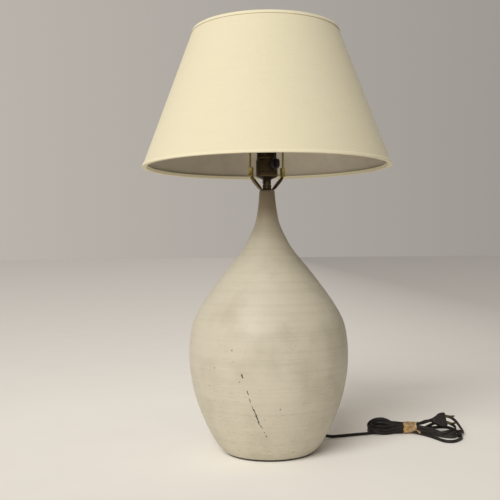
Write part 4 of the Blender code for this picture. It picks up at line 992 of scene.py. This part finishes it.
class LAMP_OT_harp(bpy.types.Operator):
    """Make the saddle, its locknut, the sleeves, the harp and its top stud"""
    bl_idname = "pottery_lamp.harp"
    bl_label = "Harp and saddle"

    def execute(self, context):
        turn = Matrix.Rotation(HARP_TURN, 4, "Z")
        right = [(9.5, 427.8), (11.0, 428.1), (14.5, 430.6), (22.9, 440.3), (27.3, 446.6), (27.5, 449.4),
                 (26.7, 449.8), (25.5, 449.8), (25.5, 449.2), (24.0, 447.8), (17.3, 440.2), (11.0, 432.0),
                 (9.6, 429.3), (9.0, 429.3)]
        saddle = prism("saddle_arms", right + [(-x, z) for x, z in reversed(right)], 9.0)
        weld(saddle, lathe("saddle_seat", [(0, 427.8), (8.2, 427.8), (8.6, 428.1), (8.6, 429.0), (8.2, 429.3),
                                           (0, 429.3)], 40))
        for side in (-1, 1):
            x = side * 26.1
            weld(saddle, prism("saddle_ear", [(x - 0.6, 447.6), (x - 0.6, 462.4), (x, 463.0), (x + 0.6, 462.4),
                                              (x + 0.6, 447.6)], 4.0))
        weld(saddle, lathe("saddle_bore", [(0, 425), (5.15, 425), (5.15, 432), (0, 432)], 32), "DIFFERENCE")
        soften(saddle, 0.3, 2, 40)
        finished(placed(saddle, turn), "base", antique_bronze(), ["harp_saddle"])

        nut = soften(lathe("neck_locknut", [(5.15, 436.5), (6.4, 436.5), (7.15, 435.8), (7.15, 430.4), (6.4, 429.7),
                                            (5.15, 429.7)], 40), 0.2)
        for flat in range(12):                      # knurled grooves round the nut
            groove = lathe("knurl", [(0, 429.2), (0.42, 429.2), (0.42, 437.0), (0, 437.0)], 8,
                           Matrix.Rotation(math.tau * flat / 12, 4, "Z") @ Matrix.Translation((7.3 * MM, 0, 0)))
            weld(nut, groove, "DIFFERENCE")
        finished(nut, "base", antique_bronze(), ["saddle_locknut"])

        brass = plain_finish("tarnished_brass")
        for side, azimuth in (("left", HARP_TURN + math.pi), ("right", HARP_TURN)):
            outline = [(3.62, 14.4), (4.1, 14.4), (4.35, 14.1), (4.35, 12.9), (4.15, 12.5), (4.15, 1.9), (4.35, 1.5),
                       (4.35, 0.3), (4.1, 0), (3.62, 0)]
            seat = Matrix.Translation(Vector(polar(azimuth, 27.9, 450.2)) * MM)
            sleeve = lathe(f"{side}_sleeve", outline, 40, seat)
            finished(soften(sleeve, 0.12), f"sleeve_{side}", brass, [f"sleeve_{side}"])

        half = [(x, 0, z) for x, z in HARP_ROUTE]
        route = smooth_line(half + [(-x, 0, z) for x, _, z in reversed(half[:-1])], 3.5)
        bow = bent_wire("harp_bow", route, 1.6, sides=4, matrix=turn)
        weld(bow, lathe("harp_eye", [(0, 674.2), (5.5, 674.2), (6.0, 673.7), (6.0, 670.6), (5.5, 670.1), (0, 670.1)],
                        40))
        weld(bow, lathe("harp_bore", [(0, 680), (1.8, 680), (1.8, 664), (0, 664)], 24), "DIFFERENCE")
        finished(bow, "harp", brass, ["harp_wire"], 50)

        outline = [(0, 689.0), (2.4, 689.0)]
        for turn_number in range(11):               # thread, 1.1 mm pitch
            z = 688.2 - 0.95 * turn_number
            outline += [(2.75, z), (3.1, z - 0.45)]
        outline += [(3.0, 677.2), (4.9, 676.6), (5.2, 676.2), (5.2, 675.0), (4.9, 674.7), (1.5, 674.7), (1.5, 669.8),
                    (3.0, 669.8), (2.9, 669.2), (2.2, 668.5), (0, 668.2)]
        stud = lathe("harp_pin", outline, 32)
        finished(stud, "stud", plain_finish("turned_brass"), ["harp_stud"])
        return {"FINISHED"}


# ---------------------------------------------------------------- socket and switch

class LAMP_OT_socket(bpy.types.Operator):
    """Make the socket's dome, husk, fibre sleeve, set screw, knob and shaft"""
    bl_idname = "pottery_lamp.socket"
    bl_label = "Socket and switch"

    def execute(self, context):
        bronze = antique_bronze()
        along_knob = level_axis(KNOB_AZIMUTH, KNOB_Z)
        dome = lathe("socket_dome", [(17.7, 454.0), (17.7, 451.4), (17.3, 450.2), (16.2, 449.2), (8.4, 445.6),
                                     (7.2, 444.8), (6.7, 443.6), (6.7, 437.2), (6.5, 436.9), (5.15, 436.9),
                                     (5.15, 445.0), (6.6, 446.0), (15.9, 450.4), (16.9, 451.8), (16.9, 454.0)], 64)
        deselect_all()
        bpy.ops.mesh.primitive_cylinder_add(vertices=20, radius=1.6 * MM, depth=6 * MM)
        drilled = level_axis(SET_SCREW_AZIMUTH, SET_SCREW_Z) @ Matrix.Translation((0, 0, 7 * MM))
        weld(dome, placed(context_piece("set_screw_hole"), drilled), "DIFFERENCE")
        finished(soften(dome, 0.15), "base", bronze, ["socket_cap"])

        screw = lathe("dome_set_screw", [(0, 8.0), (1.2, 8.0), (1.4, 7.8), (1.4, 5.3), (0, 5.3)], 20)
        deselect_all()
        bpy.ops.mesh.primitive_cube_add(size=1.0, location=(0, 0, 8 * MM), scale=(4 * MM, 0.4 * MM, 0.9 * MM))
        weld(screw, placed(context_piece("driver_slot")), "DIFFERENCE")
        placed(screw, level_axis(SET_SCREW_AZIMUTH, SET_SCREW_Z))
        finished(screw, "base", plain_finish("zinc_plated_steel"), ["cap_set_screw"])

        outline = [(16.9, 454.3), (17.7, 454.3), (17.7, 456.2), (17.4, 456.6), (17.4, 457.4), (17.7, 457.8),
                   (17.7, 475.2), (17.4, 476.2), (16.6, 477.6), (16.2, 478.6), (16.7, 479.2), (16.85, 479.9),
                   (16.7, 480.6), (16.2, 481.2), (16.2, 503.6), (16.5, 504.2), (16.5, 505.0), (16.2, 505.6),
                   (16.2, 507.6), (16.0, 508.0), (15.4, 508.0), (15.4, 477.8), (16.9, 475.0)]
        husk = lathe("socket_husk", outline, 72)
        opening = lathe("shaft_opening", SHAFT_OPENING, 28, along_knob)
        weld(husk, opening, "DIFFERENCE")
        finished(soften(husk, 0.12), "base", bronze, ["socket_shell"])

        fibre = lathe("fibre_sleeve", [(15.0, 506.5), (15.0, 455.5), (14.2, 455.5), (14.2, 506.5)], 56)
        weld(fibre, lathe("fibre_opening", SHAFT_OPENING, 28, along_knob), "DIFFERENCE")
        finished(fibre, "base", plain_finish("vulcanised_fibre"), ["socket_insulator"])

        shaft = lathe("knob_shaft", [(0, 27.0), (1.4, 27.0), (1.6, 26.8), (1.6, 8.2), (1.4, 8.0), (0, 8.0)], 24,
                      along_knob)
        finished(shaft, "switch", plain_finish("turned_brass"), ["switch_shaft"])

        knob = lathe("turn_knob", [(0, 25.0), (4.6, 25.0), (6.4, 24.7), (7.8, 24.2), (8.7, 23.4), (9.0, 22.6),
                                   (9.0, 21.2), (8.7, 20.7), (8.0, 20.4), (0, 20.4)], 56)
        grip = prism("knob_grip", [(-7.5, 23.4), (7.5, 23.4), (7.3, 28.6), (6.4, 30.6), (4.6, 31.6), (2.2, 31.8),
                                   (-2.2, 31.8), (-4.6, 31.6), (-6.4, 30.6), (-7.3, 28.6)], 4.2)
        placed(soften(grip, 0.8, 3), Matrix.Rotation(math.pi / 2, 4, "Z"))
        weld(knob, grip)
        weld(knob, lathe("knob_bore", [(0, 27.4), (1.9, 27.4), (1.9, 15), (0, 15)], 24), "DIFFERENCE")
        placed(knob, along_knob)
        finished(knob, "switch", plain_finish("moulded_phenolic"), ["switch_knob"])
        return {"FINISHED"}


# ---------------------------------------------------------------- the bulb

class LAMP_OT_bulb(bpy.types.Operator):
    """Blow the frosted bulb and roll its screw cap"""
    bl_idname = "pottery_lamp.bulb"
    bl_label = "Bulb"

    def execute(self, context):
        envelope = smooth_line([(12.1, 489.6), (12.1, 506.0), (14.4, 507.6), (20.6, 526), (28.0, 546.5), (30, 560),
                                (28.6, 570), (22, 582.4), (12, 590), (0.0, 592)], 3.0)
        outer = [(max(0.0, r), z) for r, z in reversed(envelope.tolist())]
        outer[0] = (0.0, 592.0)
        inner = [(max(0.0, r - 0.8), z if z < 580 else z - 0.8 * (z - 580) / 12) for r, z in reversed(outer)]
        inner[-1] = (0.0, 591.2)
        glass = lathe("frosted_bulb", outer + inner, 72)
        finished(glass, "bulb", plain_finish("etched_bulb_glass"), ["bulb_glass"])

        thread = []
        for z in np.arange(504.0, 490.0, -0.6):     # rolled thread, 3.6 mm pitch
            thread.append((12.68 + 0.22 * math.cos(math.tau * z / 3.6), float(z)))
        outline = [(12.4, 505.4), (12.9, 505.4), (12.9, 504.6), *thread, (12.7, 489.4), (12.0, 488.2), (9.4, 485.9),
                   (0, 485.9), (0, 486.4), (9.2, 486.4), (12.1, 489.3)]
        cap = lathe("bulb_screw_cap", outline, 64)
        finished(cap, "bulb", plain_finish("nickel_plate"), ["bulb_cap"])
        return {"FINISHED"}


# ---------------------------------------------------------------- the shade

def cone_radius(height):
    """Radius of the shade's outline at a height."""
    share = (height - SHADE_BOTTOM_Z) / (SHADE_TOP_Z - SHADE_BOTTOM_Z)
    return SHADE_BOTTOM_R + (SHADE_TOP_R - SHADE_BOTTOM_R) * share


def cone_wall(depth, thickness, low, high, rows):
    """Outline of a conical wall whose outer face lies depth inside the shade's own outline."""
    heights = np.linspace(high, low, rows).tolist()
    outer = [(cone_radius(z) - depth, z) for z in heights]
    return outer + [(r - thickness, z) for r, z in reversed(outer)]


def folded_tape(edge, direction, inner_wall):
    """A tape folded over a rim, with soft corners; direction is 1 up from the bottom rim, -1 down from the top."""
    height, thick, reach = 5.0, 0.7, 6.4
    tip, end = edge + direction * height, edge + direction * thick

    def at(depth, z):
        return (cone_radius(z) - depth, z)
    outline = [at(0.15, tip), at(0, tip - direction * 0.15), at(0, edge + direction * 0.5),
               at(0.15, edge + direction * 0.12), at(0.5, edge)]
    if inner_wall:
        outline += [at(reach + 0.2, edge), at(reach + 0.6, edge + direction * 0.15),
                    at(reach + thick, edge + direction * 0.5), at(reach + thick, tip), at(reach, tip), at(reach, end)]
    else:
        outline += [at(reach + thick, edge), at(reach + thick, end)]
    return outline + [at(thick, end), at(thick, tip)]


class LAMP_OT_shade(bpy.types.Operator):
    """Make the shade's cloth, liner, rim tapes, wire rings and spider"""
    bl_idname = "pottery_lamp.shade"
    bl_label = "Shade"

    def execute(self, context):
        sizes, colours = context.scene.lamp_sizes, context.scene.lamp_colours
        low, high = SHADE_BOTTOM_Z + 1.0, SHADE_TOP_Z - 1.0
        woven = plain_weave_cloth("plain_weave_cloth", colours.cloth, sizes.thread_spacing)
        taped = plain_weave_cloth("folded_cloth_tape", [min(1.0, c * 1.05) for c in colours.cloth],
                                  sizes.thread_spacing)

        cloth = lathe("shade_cloth", cone_wall(1.0, 0.7, low, high, 24), SHADE_STEPS)
        ease = bpy.data.textures.new("cloth_ease", "CLOUDS")
        ease.noise_scale = 0.09
        modify(cloth, "DISPLACE", texture=ease, strength=0.25 * MM, mid_level=0.5, texture_coords="LOCAL")
        finished(cloth, "shade", woven, ["shade_fabric"])
        seam = self.make_seam(low + 4.6, high - 4.6)
        finished(seam, "shade", woven)
        liner = lathe("styrene_liner", cone_wall(2.0, 0.8, low, high, 12), SHADE_STEPS)
        # the liner's darkened tone is painted shade inside the lampshade
        finished(liner, "shade", plain_finish("calendered_styrene"), ["shade_liner"])

        bottom = lathe("bottom_tape", folded_tape(SHADE_BOTTOM_Z, 1, True), SHADE_STEPS)
        finished(bottom, "shade", taped, ["shade_bottom_trim"])
        top = lathe("top_tape", folded_tape(SHADE_TOP_Z, -1, False), SHADE_STEPS)
        finished(top, "shade", taped, ["shade_top_trim"])

        bottom_ring = self.make_ring("bottom_wire_ring", low + 1.7)
        finished(bottom_ring, "shade", plain_finish("zinc_plated_steel"), ["shade_bottom_ring"])
        spider = self.make_spider(high - 1.7)
        finished(spider, "shade", plain_finish("tarnished_brass"), ["shade_spider"], 50)

        return {"FINISHED"}

    def make_ring(self, name, height):
        """A steel ring with the lump of its butt weld at the back."""
        deselect_all()
        radius = cone_radius(height) - RING_DEPTH
        bpy.ops.mesh.primitive_torus_add(major_segments=SHADE_STEPS, minor_segments=14, major_radius=radius * MM,
                                         minor_radius=RING_WIRE * MM, location=(0, 0, height * MM))
        ring = placed(context_piece(name))
        for vertex in ring.data.vertices:
            along = math.atan2(vertex.co.x, vertex.co.y) * radius
            lump = 0.28 * math.exp(-(along / 2.2) ** 2)
            middle = Vector((vertex.co.x, vertex.co.y, 0)).normalized() * radius * MM + Vector((0, 0, height * MM))
            vertex.co = middle + (vertex.co - middle) * (1 + lump)
        return ring

    def make_seam(self, low, high):
        """The lapped edge of the cloth: a narrow strip down the back, a cloth's thickness proud."""
        deselect_all()
        bpy.ops.mesh.primitive_grid_add(x_subdivisions=8, y_subdivisions=40, size=1.0)
        seam = context_piece("cloth_seam")
        for vertex in seam.data.vertices:
            height = low + (vertex.co.y + 0.5) * (high - low)
            azimuth = math.radians(90) + vertex.co.x * 8.5 / cone_radius(height)
            edge = min(1.0, (0.5 - abs(vertex.co.x)) * 8 + 0.25)
            vertex.co = Vector(polar(azimuth, cone_radius(height) - 0.92 + 0.42 * edge, height)) * MM
        modify(seam, "SOLIDIFY", thickness=0.3 * MM, offset=-1.0)
        bpy.ops.object.mode_set(mode="EDIT")
        tidy_mesh()
        return seam

    def make_spider(self, ring_height):
        """The top ring, three arms and the drilled hub, brazed together."""
        ring_radius = cone_radius(ring_height) - RING_DEPTH
        spider = self.make_ring("spider_frame", ring_height)
        hub = soften(lathe("spider_hub", [(3.5, 678.7), (12.5, 678.7), (12.5, 676.9), (3.5, 676.9)], 56), 0.3)
        weld(spider, hub)
        for number in range(3):
            azimuth = math.radians(120 * number + 50)
            route = [polar(azimuth, 9.5, 678.9), polar(azimuth, 22, 679.1), polar(azimuth, 70, 681.9),
                     polar(azimuth, ring_radius, ring_height)]
            weld(spider, bent_wire("spider_arm", smooth_line(route, 5.0), 1.6, sides=3))
        return spider


# ---------------------------------------------------------------- the finial

class LAMP_OT_finial(bpy.types.Operator):
    """Turn the brass ball finial and its collar"""
    bl_idname = "pottery_lamp.finial"
    bl_label = "Finial"

    def execute(self, context):
        brass = plain_finish("turned_brass")
        collar = lathe("finial_base", [(3.5, 684.0), (5.4, 684.0), (5.4, 682.8), (5.8, 682.2), (6.6, 681.8),
                                       (7.0, 681.2), (7.0, 679.0), (3.5, 679.0)], 48)
        finished(soften(collar, 0.2), "finial_collar", brass, ["finial_collar"])
        arc = [(6.6 * math.cos(a), 698.3 + 6.6 * math.sin(a)) for a in np.radians(np.arange(84, -58, -6))]
        outline = [(0, 704.9), *arc, (3.6, 692.2), (3.4, 690.6), (3.7, 689.2), (4.5, 688.0), (5.4, 687.2),
                   (6.0, 686.4), (6.0, 684.6), (5.7, 684.3), (3.5, 684.3), (3.5, 689.5), (0, 689.5)]
        knob = lathe("finial_ball", outline, 56)
        finished(knob, "finial_knob", brass, ["finial_knob"])
        return {"FINISHED"}


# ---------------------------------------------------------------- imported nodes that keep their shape

HIDDEN_FINISHES = {
    "bottom_nut": "zinc_plated_steel", "bottom_washer": "zinc_plated_steel", "lamp_pipe": "zinc_plated_steel",
    "socket_block": "moulded_phenolic", "screw_shell": "turned_brass", "centre_contact": "turned_brass",
    "terminal_screw_brass": "turned_brass", "terminal_screw_silver": "nickel_plate", "bulb_contact": "nickel_plate",
    "bulb_insulator": "moulded_phenolic", "bulb_stem": "drawn_clear_glass", "bulb_filament": "drawn_tungsten",
    "cord_inner": "moulded_vinyl",
}


class LAMP_OT_inner_parts(bpy.types.Operator):
    """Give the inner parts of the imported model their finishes"""
    bl_idname = "pottery_lamp.inner_parts"
    bl_label = "Inner parts"

    def execute(self, context):
        for node, finish in HIDDEN_FINISHES.items():
            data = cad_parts[node].data
            data.materials.clear()
            data.materials.append(plain_finish(finish))
        return {"FINISHED"}


# ---------------------------------------------------------------- add-on

class LAMP_PT_panel(bpy.types.Panel):
    """Lists the lamp's pieces and settings"""
    bl_label = "Pottery lamp"
    bl_idname = "LAMP_PT_panel"
    bl_space_type = "VIEW_3D"
    bl_region_type = "UI"
    bl_category = "Pottery lamp"

    def draw(self, context):
        for operator in OPERATORS:
            self.layout.operator(operator.bl_idname)
        for group in (context.scene.lamp_sizes, context.scene.lamp_colours):
            for name in group.__annotations__:
                self.layout.prop(group, name)


OPERATORS = (LAMP_OT_stage, LAMP_OT_cord, LAMP_OT_body, LAMP_OT_harp, LAMP_OT_socket, LAMP_OT_bulb, LAMP_OT_shade,
             LAMP_OT_finial, LAMP_OT_inner_parts)
CLASSES = (LampSizes, LampColours, *OPERATORS, LAMP_PT_panel)


def register():
    for item in CLASSES:
        bpy.utils.register_class(item)
    bpy.types.Scene.lamp_sizes = PointerProperty(type=LampSizes)
    bpy.types.Scene.lamp_colours = PointerProperty(type=LampColours)


def unregister():
    del bpy.types.Scene.lamp_colours, bpy.types.Scene.lamp_sizes
    for item in reversed(CLASSES):
        bpy.utils.unregister_class(item)


def main():
    register()
    for operator in OPERATORS:
        group, name = operator.bl_idname.split(".")
        result = getattr(getattr(bpy.ops, group), name)()
        if result != {"FINISHED"}:
            raise RuntimeError(f"{operator.bl_label} was not finished")
    deselect_all()


if __name__ == "__main__":
    main()
